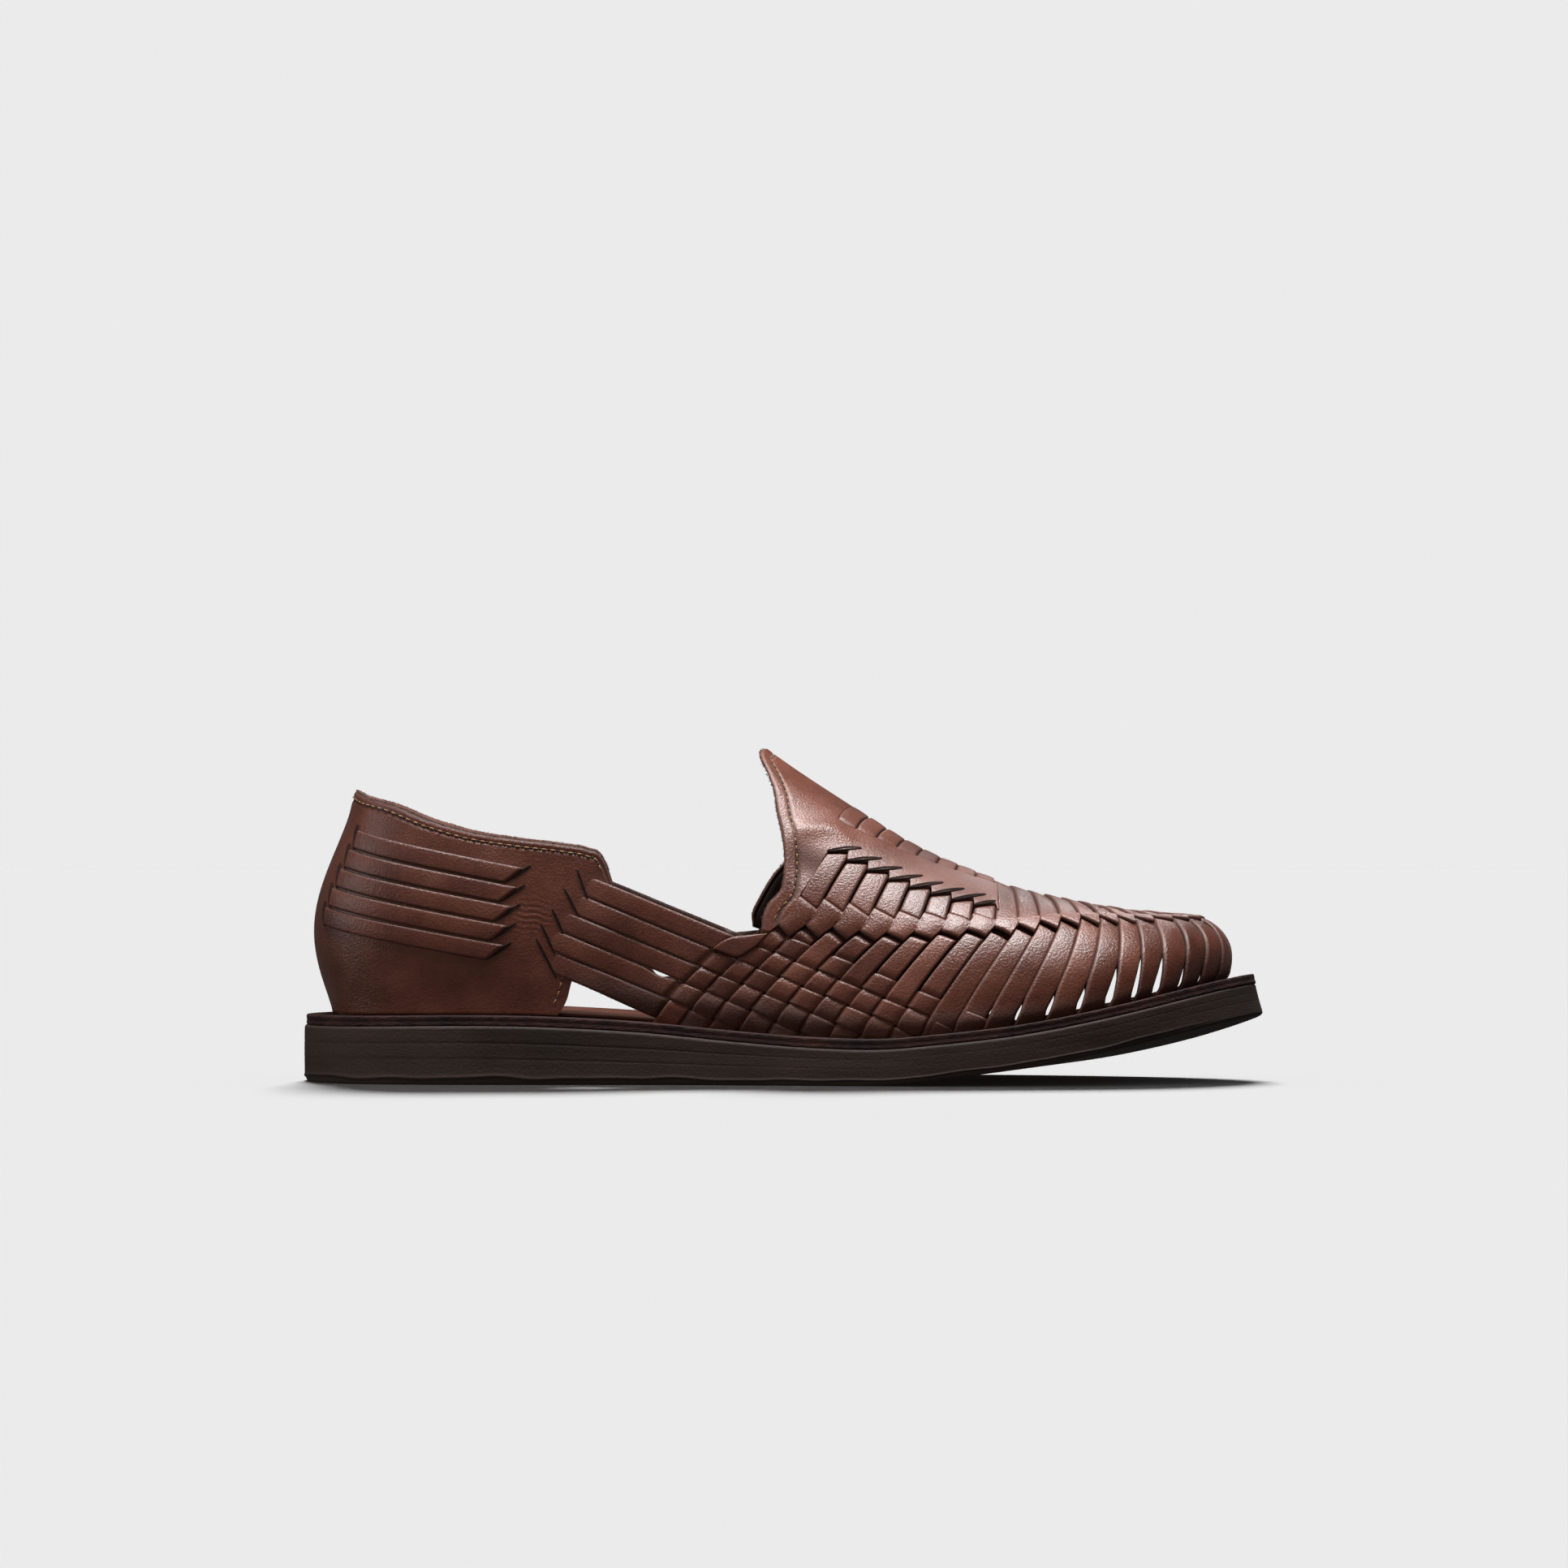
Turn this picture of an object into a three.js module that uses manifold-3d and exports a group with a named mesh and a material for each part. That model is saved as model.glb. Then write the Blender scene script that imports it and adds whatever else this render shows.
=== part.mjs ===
// Woven leather slip-on for the right foot, in millimetres.
// +X runs from heel to toe, +Z is up, -Y is the outer side, and the floor is at Z = 0.
import * as THREE from 'three';
import { mergeVertices } from 'three/addons/utils/BufferGeometryUtils.js';
import Module from 'manifold-3d';

// Outsole seen from above: heel, outer side, toe tip, then back along the inner side.
const SOLE_OUTLINE = [
  { x: -147.5, y: 1.0 },
  { x: -138.5, y: -23.0 },
  { x: -110.0, y: -35.0 },
  { x: -68.0, y: -36.5 },
  { x: -25.0, y: -38.0 },
  { x: 15.0, y: -45.0 },
  { x: 52.0, y: -50.2 },
  { x: 92.0, y: -48.5 },
  { x: 124.0, y: -33.0 },
  { x: 143.0, y: -11.0 },
  { x: 147.5, y: 6.0 },
  { x: 141.0, y: 23.0 },
  { x: 118.0, y: 38.0 },
  { x: 82.0, y: 48.0 },
  { x: 48.0, y: 50.0 },
  { x: 8.0, y: 41.0 },
  { x: -35.0, y: 32.0 },
  { x: -75.0, y: 32.5 },
  { x: -112.0, y: 33.5 },
  { x: -138.5, y: 24.0 },
];
const TOE_ROW = 10;

// Toe spring: lift of the tread, by distance along the foot.
// The fold line lies askew, later on the inner side.
const SPRING = [
  { along: 20, lift: 0 },
  { along: 45, lift: 0.4 },
  { along: 60, lift: 2.0 },
  { along: 90, lift: 6.0 },
  { along: 115, lift: 11.3 },
  { along: 147, lift: 20.3 },
];
const SPRING_SKEW = 0.3;

// Whole thickness of the sole, from tread to featherline.
const SOLE_THICKNESS = [
  { x: -147, thick: 20.6 },
  { x: -70, thick: 20.6 },
  { x: -42, thick: 19.0 },
  { x: -16, thick: 16.5 },
  { x: 8, thick: 14.7 },
  { x: 30, thick: 14.0 },
  { x: 147, thick: 13.3 },
];
const MIDSOLE_THICKNESS = 3.2;
const MIDSOLE_STEP = 0.6;
const INSOLE_THICKNESS = 2.2;
const FIT_GAP = 0.3;
const SOLE_ROWS = 36;
const INSOLE_ROWS = 26;

// Featherline: how far the upper's foot stands in from the sole's edge.
const SIDE_INSET = 4.0;
const HEEL_INSET = 8.6;
const TOE_INSET = 10.6;

// Spine of the last: each place along the featherline rises to a spine point nearer the ankle or ball.
const SPINE_PLACE = [
  { middle: -140, x: -54 },
  { middle: -60, x: -25 },
  { middle: -15, x: 2 },
  { middle: 40, x: 48 },
  { middle: 90, x: 86 },
  { middle: 137, x: 118.5 },
];
const SPINE = [
  { x: -54, y: 1.0, z: 154 },
  { x: -30, y: 2.0, z: 123 },
  { x: -6, y: 3.0, z: 102.5 },
  { x: 18.5, y: 4.6, z: 85.8 },
  { x: 42, y: 6.1, z: 71.3 },
  { x: 66.5, y: 6.8, z: 61.3 },
  { x: 88.75, y: 7.0, z: 55.8 },
  { x: 108.5, y: 6.4, z: 52.5 },
  { x: 120, y: 6.0, z: 51.4 },
];
// Squareness of the cross-section: 2 is an ellipse, more is boxier.
const SQUARENESS = [
  { x: -140, power: 2.5 },
  { x: -80, power: 2.6 },
  { x: -35, power: 2.7 },
  { x: 0, power: 2.6 },
  { x: 40, power: 2.5 },
  { x: 90, power: 2.5 },
  { x: 125, power: 2.9 },
  { x: 140, power: 3.0 },
];
const HEEL_BULGE = { side: 2.0, back: 4.4, height: 62, lowness: 0.85, peak: 1.5, fadeX: -75, fade: 12 };
const TOE_BULGE = { depth: 1.6, height: 20 };

// Leather of the upper. Strip tops lie on the last's own surface.
const WEAVE_DEPTH = 1.0;
const WALL = 1.6;
const STRIP_ROOT = 2.2;
const STRAP_THICKNESS = 1.6;
const STRAP_WIDTH = 5.7;
const COUNTER_WALL = 2.0;

// Rear edge of the woven front: turn is the way from featherline (0) to spine (1),
// and along is the way from heel (0) to toe (1).
const FRONT_EDGE = [
  { turn: 0, along: 0.354 },
  { turn: 0.1, along: 0.424 },
  { turn: 0.2, along: 0.464 },
  { turn: 0.36, along: 0.48 },
  { turn: 0.52, along: 0.474 },
  { turn: 0.72, along: 0.458 },
  { turn: 0.88, along: 0.434 },
  { turn: 1, along: 0.412 },
];
const FRONT_COLUMNS = 4;

// Cross strips of the weave, counted from the throat to the toe tip.
const STRIPS = [
  { strip: -1, along: 0.4515 },
  { strip: 1, along: 0.499 },
  { strip: 9, along: 0.689 },
  { strip: 16, along: 0.84 },
  { strip: 21, along: 1 },
];
const TIP_STRIP = 21;
const FIRST_FREE_STRIP = 9;
const FRONT_WALL_END = 8.75;
const STRIP_GAP = 0.07;
const LATTICE = {
  lastStrip: 8,
  reach: 0.1,
  edgeDip: 0.65,
  cornerDip: 0.9,
  leastTurn: 0.006,
  root: 1.7,
};
const LEAN = {
  from: 0.499,
  below: { most: 0.19, fall: 0.52, least: 0.022 },
  above: { most: 0.085, fall: 0.4, least: 0.008 },
  headShare: 0.82,
};

// Rim band that the strips pass under, by its height above the floor.
const RIM_BAND = [
  { along: 0.45, z: 51.6 },
  { along: 0.492, z: 51.1 },
  { along: 0.521, z: 50.5 },
  { along: 0.568, z: 48.6 },
  { along: 0.642, z: 48.6 },
  { along: 0.689, z: 49.1 },
  { along: 0.756, z: 51.1 },
  { along: 0.834, z: 51 },
  { along: 1, z: 50.3 },
];
const RIM_BAND_HALF = 0.022;
const RIM_RUN = { from: 0.483, to: 0.97, columns: 10 };
const RIM_RISE = 0.3;
const CROWN_BAND = { low: 0.625, high: 0.82, from: 0.5, to: 0.68, columns: 5 };
const FINGERS = { first: 1, last: 8, head: 0.578 };
const REAR_BARS = { first: 1, last: 8, foot: 0.845 };
const PLUG = { foot: 0.27, frontStrip: 0.6, columns: 10, rows: 2 };
// Toe strips lie like shingles and part from each other near the sole.
const TOE_STRIP = { tilt: 0.6, thickness: 2.0, lap: 0.03, gap: 0.075, gapHead: 0.25, rows: 4 };

// Side straps: parallel lines seen from the side, numbered from the top.
const STRAP_LINE = { z: 67.27, atX: -60, pitch: 6.87, slope: 0.412 };
const STRAP_COUNT = 5;
const STRAP_END_STRIP = 0;
const STRAP_SLITS = [
  { strap: 1, x: -61.4 },
  { strap: 2, x: -64.5 },
  { strap: 3, x: -68.7 },
  { strap: 4, x: -71.8 },
  { strap: 5, x: -72.0 },
];
// Way of a strap through its slit, by distance ahead of the slit.
const STRAP_LIFT = [
  { ahead: -9, lift: -2.4 },
  { ahead: -4, lift: -2.4 },
  { ahead: 3, lift: 2.05 },
  { ahead: 14, lift: 2.0 },
  { ahead: 24, lift: 0.4 },
  { ahead: 40, lift: 0 },
  { ahead: 90, lift: 0 },
];
const STRAP_STEPS = 6;

// Counter: front edge by share of height, collar by share of the way from heel to front edge.
const COUNTER_FRONT = [
  { share: 0, along: 0.288 },
  { share: 0.1, along: 0.295 },
  { share: 0.25, along: 0.3 },
  { share: 1, along: 0.333 },
];
const COLLAR = [
  { share: 0, z: 89.5 },
  { share: 0.08, z: 89.3 },
  { share: 0.2, z: 87.8 },
  { share: 0.339, z: 85.4 },
  { share: 0.477, z: 80.4 },
  { share: 0.598, z: 76.9 },
  { share: 0.733, z: 74.6 },
  { share: 0.868, z: 72.8 },
  { share: 0.922, z: 71.7 },
  { share: 0.97, z: 68.6 },
  { share: 0.988, z: 64.6 },
  { share: 1, z: 61.3 },
];
const COUNTER_SHARES = [0, 0.07, 0.15, 0.25, 0.37, 0.5, 0.63, 0.76, 0.87, 0.94, 0.98, 1];
const COUNTER_ROWS = 4;

// Strap tails on the counter: first tail's corners and the step to the next one below.
const TAIL = {
  rear: { along: 0.077, z: 77.3, stepAlong: -0.006, stepZ: -5.85 },
  tip: { along: 0.254, z: 65.6, stepAlong: -0.003, stepZ: -5.83 },
  cut: -0.016,
  width: 5.3,
  thickness: 1.4,
  steps: 7,
  crowding: 1.5,
};

const OUTER = -1;
const INNER = 1;
const SIDES = [OUTER, INNER];
const wasm = await Module();
wasm.setup();

// Smooth curve through the rows of a table, held flat beyond its ends.
function read(table, key, value, at) {
  const last = table.length - 1;
  const x = THREE.MathUtils.clamp(at, table[0][key], table[last][key]);
  let i = 0;
  while (i < last - 1 && x >= table[i + 1][key]) i += 1;
  const slope = (k) => {
    if (k === 0 || k === last) {
      const [a, b] = k === 0 ? [0, 1] : [last - 1, last];
      return (table[b][value] - table[a][value]) / (table[b][key] - table[a][key]);
    }
    const before = table[k][key] - table[k - 1][key];
    const after = table[k + 1][key] - table[k][key];
    const rise = (table[k][value] - table[k - 1][value]) / before;
    const next = (table[k + 1][value] - table[k][value]) / after;
    return (rise * after + next * before) / (before + after);
  };
  const span = table[i + 1][key] - table[i][key];
  const f = (x - table[i][key]) / span;
  return (
    (2 * f ** 3 - 3 * f ** 2 + 1) * table[i][value] +
    (f ** 3 - 2 * f ** 2 + f) * span * slope(i) +
    (3 * f ** 2 - 2 * f ** 3) * table[i + 1][value] +
    (f ** 3 - f ** 2) * span * slope(i + 1)
  );
}

// Straight line between the rows of a table.
function readStraight(table, key, value, at) {
  let i = 0;
  while (i < table.length - 2 && at >= table[i + 1][key]) i += 1;
  const f = (at - table[i][key]) / (table[i + 1][key] - table[i][key]);
  return THREE.MathUtils.lerp(table[i][value], table[i + 1][value], f);
}

// Control points of the closed cubic B-spline that passes through the outline's points.
function splineThrough(points) {
  const count = points.length;
  let control = points.map((p) => new THREE.Vector2(p.x, p.y));
  for (let pass = 0; pass < 80; pass += 1) {
    control = control.map((c, i) => {
      const near = control[(i + count - 1) % count].clone().add(control[(i + 1) % count]);
      const reached = near.addScaledVector(c, 4).divideScalar(6);
      return new THREE.Vector2(points[i].x, points[i].y).sub(reached).add(c);
    });
  }
  return control;
}

function splinePoint(control, u) {
  const count = control.length;
  const i = Math.floor(u);
  const f = u - i;
  const weights = [
    (1 - f) ** 3,
    3 * f ** 3 - 6 * f ** 2 + 4,
    -3 * f ** 3 + 3 * f ** 2 + 3 * f + 1,
    f ** 3,
  ];
  const point = new THREE.Vector2();
  weights.forEach((w, k) => point.addScaledVector(control[(i + k - 1 + count) % count], w / 6));
  return point;
}

// One side of the outline from heel to toe, with its running length.
function outlineHalf(side) {
  const control = splineThrough(SOLE_OUTLINE);
  const start = side === OUTER ? 0 : SOLE_OUTLINE.length;
  const samples = 400;
  const points = [];
  const length = [0];
  for (let k = 0; k <= samples; k += 1) {
    points.push(splinePoint(control, THREE.MathUtils.lerp(start, TOE_ROW, k / samples)));
    if (k > 0) length.push(length[k - 1] + points[k].distanceTo(points[k - 1]));
  }
  return { points, length };
}
const HALVES = { [OUTER]: outlineHalf(OUTER), [INNER]: outlineHalf(INNER) };

// Place on the sole's edge at a share of the way from heel to toe, with its outward direction.
function outline(side, along) {
  const { points, length } = HALVES[side];
  const last = points.length - 1;
  const want = THREE.MathUtils.clamp(along, 0, 1) * length[last];
  let i = 0;
  while (i < last - 1 && length[i + 1] < want) i += 1;
  const f = (want - length[i]) / (length[i + 1] - length[i]);
  const point = points[i].clone().lerp(points[i + 1], f);
  const ahead = points[Math.min(i + 2, last)].clone().sub(points[Math.max(i - 1, 0)]).normalize();
  const out = new THREE.Vector2(ahead.y, -ahead.x).multiplyScalar(-side);
  return { point, out };
}

function treadZ(x, y) {
  return read(SPRING, 'along', 'lift', x - SPRING_SKEW * y);
}

function soleTopZ(x, y) {
  return treadZ(x, y) + read(SOLE_THICKNESS, 'x', 'thick', x);
}

// Outline drawn in from the sole's edge, further in at heel and toe.
function insetOutline(side, along, more) {
  const { point, out } = outline(side, along);
  const end = out.x < 0 ? HEEL_INSET : TOE_INSET;
  const inset = THREE.MathUtils.lerp(SIDE_INSET, end, out.x ** 2) + more;
  return { point: point.addScaledVector(out, -inset), out };
}

// What one place along the featherline needs: its foot, its spine point and its roundness.
function station(side, along) {
  const foot = insetOutline(side, along, 0);
  const other = insetOutline(-side, along, 0);
  const middle = (foot.point.x + other.point.x) / 2;
  const spineX = read(SPINE_PLACE, 'middle', 'x', middle);
  return {
    foot: foot.point,
    out: foot.out,
    middle,
    footZ: soleTopZ(foot.point.x, foot.point.y) + FIT_GAP,
    spine: new THREE.Vector2(spineX, read(SPINE, 'x', 'y', spineX)),
    spineZ: read(SPINE, 'x', 'z', spineX),
    power: read(SQUARENESS, 'x', 'power', middle),
  };
}

// How far the last swells past its plain section, by height over the featherline.
function bulge(place, height) {
  const heel = HEEL_BULGE;
  const back = 1 / (1 + Math.exp((place.middle - heel.fadeX) / heel.fade));
  const most = back * (heel.side + heel.back * Math.max(0, -place.out.x) ** 2);
  const rise = THREE.MathUtils.clamp(height / heel.height, 0, 1) ** heel.lowness;
  const toeRise = THREE.MathUtils.clamp(height / TOE_BULGE.height, 0, 1);
  const toe = TOE_BULGE.depth * Math.max(0, place.out.x) * Math.sin(Math.PI * toeRise);
  return most * Math.max(0, Math.sin(Math.PI * rise)) ** heel.peak + toe;
}

// Surface of the last: a rounded quarter from the featherline (turn 0) up to the spine (turn 1).
function surface(side, along, turn) {
  const place = station(turn >= 1 || along >= 1 || along <= 0 ? OUTER : side, along);
  const angle = (THREE.MathUtils.clamp(turn, 0, 1) * Math.PI) / 2;
  const across = Math.max(0, Math.cos(angle)) ** (2 / place.power);
  const height = (place.spineZ - place.footZ) * Math.sin(angle) ** (2 / place.power);
  const swell = bulge(place, height);
  const plan = place.spine.clone().lerp(place.foot, turn >= 1 ? 0 : across);
  plan.addScaledVector(place.out, swell);
  return new THREE.Vector3(plan.x, plan.y, place.footZ + height);
}

function slopeNormal(side, along, turn) {
  const step = 0.004;
  const ahead = surface(side, along + step, turn).sub(surface(side, along - step, turn));
  const up = surface(side, along, turn + step).sub(surface(side, along, turn - step));
  return ahead.cross(up).multiplyScalar(-side).normalize();
}

// Outward direction; on the spine, heel and toe lines both sides share one.
function outward(side, along, turn) {
  const edge = 0.006;
  const a = THREE.MathUtils.clamp(along, edge, 1 - edge);
  const w = THREE.MathUtils.clamp(turn, edge, 1 - edge);
  if (along >= 1 || along <= 0 || turn >= 1) {
    return slopeNormal(OUTER, a, w).add(slopeNormal(INNER, a, w)).normalize();
  }
  return slopeNormal(side, a, w);
}

function leather(side, along, turn, lift) {
  return surface(side, along, turn).addScaledVector(outward(side, along, turn), lift);
}

// Turn at which the surface reaches a height above the floor.
function turnAt(side, along, z) {
  const place = station(side, along);
  const share = THREE.MathUtils.clamp((z - place.footZ) / (place.spineZ - place.footZ), 0, 1);
  return (2 / Math.PI) * Math.asin(share ** (place.power / 2));
}

// Place on a side wall that is seen at x, z from the side.
function sidePlace(side, x, z) {
  const reach = 400;
  let along = 0.5;
  for (let pass = 0; pass < 40; pass += 1) {
    const turn = turnAt(side, along, z);
    along = THREE.MathUtils.clamp(along + (x - surface(side, along, turn).x) / reach, 0.02, 0.98);
  }
  return { along, turn: turnAt(side, along, z) };
}

// Closed solid from loose triangles: corners are merged, empty faces dropped, faces turned outward.
function weld(corners) {
  const loose = new THREE.BufferGeometry();
  loose.setAttribute('position', new THREE.Float32BufferAttribute(corners.flatMap((p) => p.toArray()), 3));
  const merged = mergeVertices(loose, 1e-3);
  const position = merged.getAttribute('position');
  const index = merged.getIndex().array;
  const faces = [];
  let volume = 0;
  for (let k = 0; k < index.length; k += 3) {
    const [i, j, m] = index.slice(k, k + 3);
    if (i === j || j === m || m === i) continue;
    faces.push(i, j, m);
    const [p, q, r] = [i, j, m].map((n) => new THREE.Vector3().fromBufferAttribute(position, n));
    volume += p.dot(q.cross(r));
  }
  merged.setIndex(volume < 0 ? faces.reverse() : faces);
  return merged;
}

// Wall between two sheets of a grid; point(column, row, face) gives face 1 outside and face 0 inside.
function slab(columns, rows, point, headWall = true) {
  const sheets = [0, 1].map((face) =>
    Array.from({ length: rows + 1 }, (_, r) =>
      Array.from({ length: columns + 1 }, (__, c) => point(c, r, face))));
  const [inner, outer] = sheets;
  const corners = [];
  const quad = (p, q, r, s) => corners.push(p, q, r, p, r, s);
  for (let r = 0; r < rows; r += 1) {
    for (let c = 0; c < columns; c += 1) {
      quad(outer[r][c], outer[r][c + 1], outer[r + 1][c + 1], outer[r + 1][c]);
      quad(inner[r][c], inner[r + 1][c], inner[r + 1][c + 1], inner[r][c + 1]);
    }
    quad(outer[r][0], outer[r + 1][0], inner[r + 1][0], inner[r][0]);
    quad(inner[r][columns], inner[r + 1][columns], outer[r + 1][columns], outer[r][columns]);
  }
  for (let c = 0; c < columns; c += 1) {
    quad(inner[0][c], inner[0][c + 1], outer[0][c + 1], outer[0][c]);
    if (headWall) quad(outer[rows][c], outer[rows][c + 1], inner[rows][c + 1], inner[rows][c]);
  }
  return weld(corners);
}

function toSolid(geometry) {
  return new wasm.Manifold(new wasm.Mesh({
    numProp: 3,
    vertProperties: new Float32Array(geometry.getAttribute('position').array),
    triVerts: new Uint32Array(geometry.getIndex().array),
  }));
}

function toGeometry(solid) {
  const { vertProperties, triVerts } = solid.getMesh();
  const geometry = new THREE.BufferGeometry();
  geometry.setAttribute('position', new THREE.Float32BufferAttribute(vertProperties, 3));
  geometry.setIndex([...triVerts]);
  return geometry;
}

// Layer of the sole: a sheet across the foot, row by row from heel to toe, between two heights.
function soleLayer(edge, lowZ, highZ, rows) {
  const columns = 2;
  return slab(columns, rows, (c, r, face) => {
    const along = (1 - Math.cos((Math.PI * r) / rows)) / 2;
    const plan = edge(OUTER, along).lerp(edge(INNER, along), c / columns);
    return new THREE.Vector3(plan.x, plan.y, face ? highZ(plan.x, plan.y) : lowZ(plan.x, plan.y));
  });
}

function makeOutsole() {
  return soleLayer(
    (side, along) => outline(side, along).point,
    treadZ,
    (x, y) => soleTopZ(x, y) - MIDSOLE_THICKNESS - FIT_GAP,
    SOLE_ROWS,
  );
}

function makeMidsole() {
  return soleLayer(
    (side, along) => {
      const { point, out } = outline(side, along);
      return point.addScaledVector(out, -MIDSOLE_STEP);
    },
    (x, y) => soleTopZ(x, y) - MIDSOLE_THICKNESS,
    soleTopZ,
    SOLE_ROWS,
  );
}

function makeInsole() {
  const inside = WEAVE_DEPTH + WALL + 2 * FIT_GAP;
  return soleLayer(
    (side, along) => insetOutline(side, along, inside).point,
    (x, y) => soleTopZ(x, y) + FIT_GAP,
    (x, y) => soleTopZ(x, y) + FIT_GAP + INSOLE_THICKNESS,
    INSOLE_ROWS,
  );
}

// Share of the spine's height that the surface has reached at a turn.
function heightShare(side, along, turn) {
  return Math.sin((turn * Math.PI) / 2) ** (2 / station(side, along).power);
}

// Centre line of a cross strip: it leans forward on its way up, most below the rim band.
function stripAlong(side, strip, turn) {
  const along = readStraight(STRIPS, 'strip', 'along', strip);
  const lean = ({ most, fall, least }) => Math.max(least, most - fall * (along - LEAN.from));
  const rim = heightShare(side, along, rimTurn(side, along));
  const share = heightShare(side, along, turn);
  const below = lean(LEAN.below) * Math.max(0, rim - share);
  const above = lean(LEAN.above) * Math.max(0, Math.min(share, LEAN.headShare) - rim);
  return Math.min(1, along - below + above);
}

function rimTurn(side, along) {
  return turnAt(side, along, read(RIM_BAND, 'along', 'z', along));
}

function strapZ(strap, x) {
  return STRAP_LINE.z - STRAP_LINE.pitch * strap - STRAP_LINE.slope * (x - STRAP_LINE.atX);
}

// Turn at which a cross strip's line meets a side strap's line.
function crossing(side, strip, strap) {
  const under = (turn) => {
    const point = surface(side, stripAlong(side, strip, turn), turn);
    return point.z < strapZ(strap, point.x);
  };
  let low = 0;
  let high = 0.6;
  if (!under(low)) return low;
  for (let pass = 0; pass < 24; pass += 1) {
    const turn = (low + high) / 2;
    if (under(turn)) low = turn;
    else high = turn;
  }
  return low;
}

// Raised piece of leather, rooted in the base wall; place(u, v) says where it lies.
function raised(columns, rows, place, lift = 0) {
  return slab(columns, rows, (c, r, face) => {
    const { side, along, turn } = place(c / columns, r / rows);
    return leather(side, along, turn, face ? lift : -STRIP_ROOT);
  });
}

// Cross strip of one side, from the weave up under the rim band to its finger's head.
function stripFloat(side, strip) {
  const half = 0.5 - STRIP_GAP;
  const foot = crossing(side, strip, strip % 2 ? 0 : -0.5);
  const rim = rimTurn(side, readStraight(STRIPS, 'strip', 'along', strip));
  const turns = [foot, rim, FINGERS.head];
  return raised(1, turns.length - 1, (u, v) => {
    const turn = turns[v * (turns.length - 1)];
    return { side, along: stripAlong(side, strip + THREE.MathUtils.lerp(-half, half, u), turn), turn };
  });
}

// Short bar over the spine, behind the toe strips.
function rearBar(strip) {
  const half = 0.5 - STRIP_GAP;
  return raised(1, 2, (u, v) => {
    const side = v < 0.5 ? OUTER : INNER;
    const turn = 1 - Math.abs(2 * v - 1) * (1 - REAR_BARS.foot);
    return { side, along: stripAlong(side, strip + THREE.MathUtils.lerp(-half, half, u), turn), turn };
  });
}

// Plain weave of cross strips and side straps in one sheet. The piece on top of a crossing rises in
// the middle and reaches past its square lengthwise. Crossings below the sole's edge close up, and
// the first strip stops one crossing short of the throat.
function weaveSheet(side) {
  const { lastStrip, reach, edgeDip, cornerDip, leastTurn, root } = LATTICE;
  const columns = 2 * (lastStrip + 1);
  const rows = 2 * (STRAP_COUNT + 1);
  return slab(columns, rows, (c, step, face) => {
    const r = c < 2 ? Math.min(step, rows - 2) : step;
    const [onStrip, onStrap] = [c % 2 === 1, r % 2 === 1];
    let strip = (c - 1) / 2;
    let strap = STRAP_COUNT - (r - 1) / 2;
    const stripOnTop = (Math.floor(strip) + Math.floor(strap)) % 2 !== 0;
    const shift = stripOnTop ? reach : -reach;
    if (onStrap && !onStrip) strip -= shift;
    if (onStrip && !onStrap) strap += shift;
    const turn = crossing(side, strip, strap);
    if (turn < leastTurn) return leather(side, stripAlong(side, (c - 1) / 2, 0), 0, face ? 0 : -root);
    const dip = [cornerDip, edgeDip, 0][Number(onStrip) + Number(onStrap)];
    return leather(side, stripAlong(side, strip, turn), turn, face ? -dip : -root);
  });
}

// Rib that follows the featherline's run on one side, between two turns that vary along it.
function band(side, from, to, low, high, columns) {
  return raised(columns, 1, (u, v) => {
    const along = THREE.MathUtils.lerp(from, to, u);
    return { side, along, turn: THREE.MathUtils.lerp(low(along), high(along), v) };
  }, RIM_RISE);
}

// Base wall of the woven sides and the plug, in one sheet, closed along the spine.
function makeFrontWall() {
  const rows = FRONT_EDGE.length - 1;
  const wall = (side) => slab(FRONT_COLUMNS, rows, (c, r, face) => {
    const { turn, along: edge } = FRONT_EDGE[r];
    const along = THREE.MathUtils.lerp(edge, stripAlong(side, FRONT_WALL_END, turn), c / FRONT_COLUMNS);
    return leather(side, along, turn, -WEAVE_DEPTH - (face ? 0 : WALL));
  });
  return SIDES.map(wall);
}

// Edge of a toe strip: strips lap a little, and below the gap's head they draw apart.
function toeStripEdge(side, strip, end, turn) {
  const open = Math.max(0, 1 - turn / TOE_STRIP.gapHead);
  const half = 0.5 + TOE_STRIP.lap - (TOE_STRIP.lap + TOE_STRIP.gap) * open;
  return stripAlong(side, strip + end * half, turn);
}

// Toe strip from sole to sole over the spine, its front edge tucked under the next one.
function toeStrip(strip) {
  const { rows, tilt, thickness } = TOE_STRIP;
  return slab(1, 2 * rows, (c, r, face) => {
    const side = r < rows ? OUTER : INNER;
    const turn = 1 - Math.abs(r - rows) / rows;
    const along = toeStripEdge(side, strip, c ? 1 : -1, turn);
    return leather(side, along, turn, -(c ? tilt : 0) - (face ? 0 : thickness));
  });
}

// Strip at the toe tip, from the sole up to the end of the spine.
function tipStrip() {
  const { rows, thickness } = TOE_STRIP;
  return slab(2, rows, (c, r, face) => {
    const turn = r / rows;
    const along = c === 1 ? 1 : toeStripEdge(c ? INNER : OUTER, TIP_STRIP, -1, turn);
    return leather(c ? INNER : OUTER, along, turn, face ? 0 : -thickness);
  }, false);
}

// Smooth plug with the tongue: from the throat edge to the first strips, over the spine.
function makePlug() {
  return raised(PLUG.columns, PLUG.rows, (u, v) => {
    const side = u < 0.5 ? OUTER : INNER;
    const turn = 1 - Math.abs(2 * u - 1) * (1 - PLUG.foot);
    const edge = read(FRONT_EDGE, 'turn', 'along', turn);
    return { side, along: THREE.MathUtils.lerp(edge, stripAlong(side, PLUG.frontStrip, turn), v), turn };
  });
}

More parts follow.
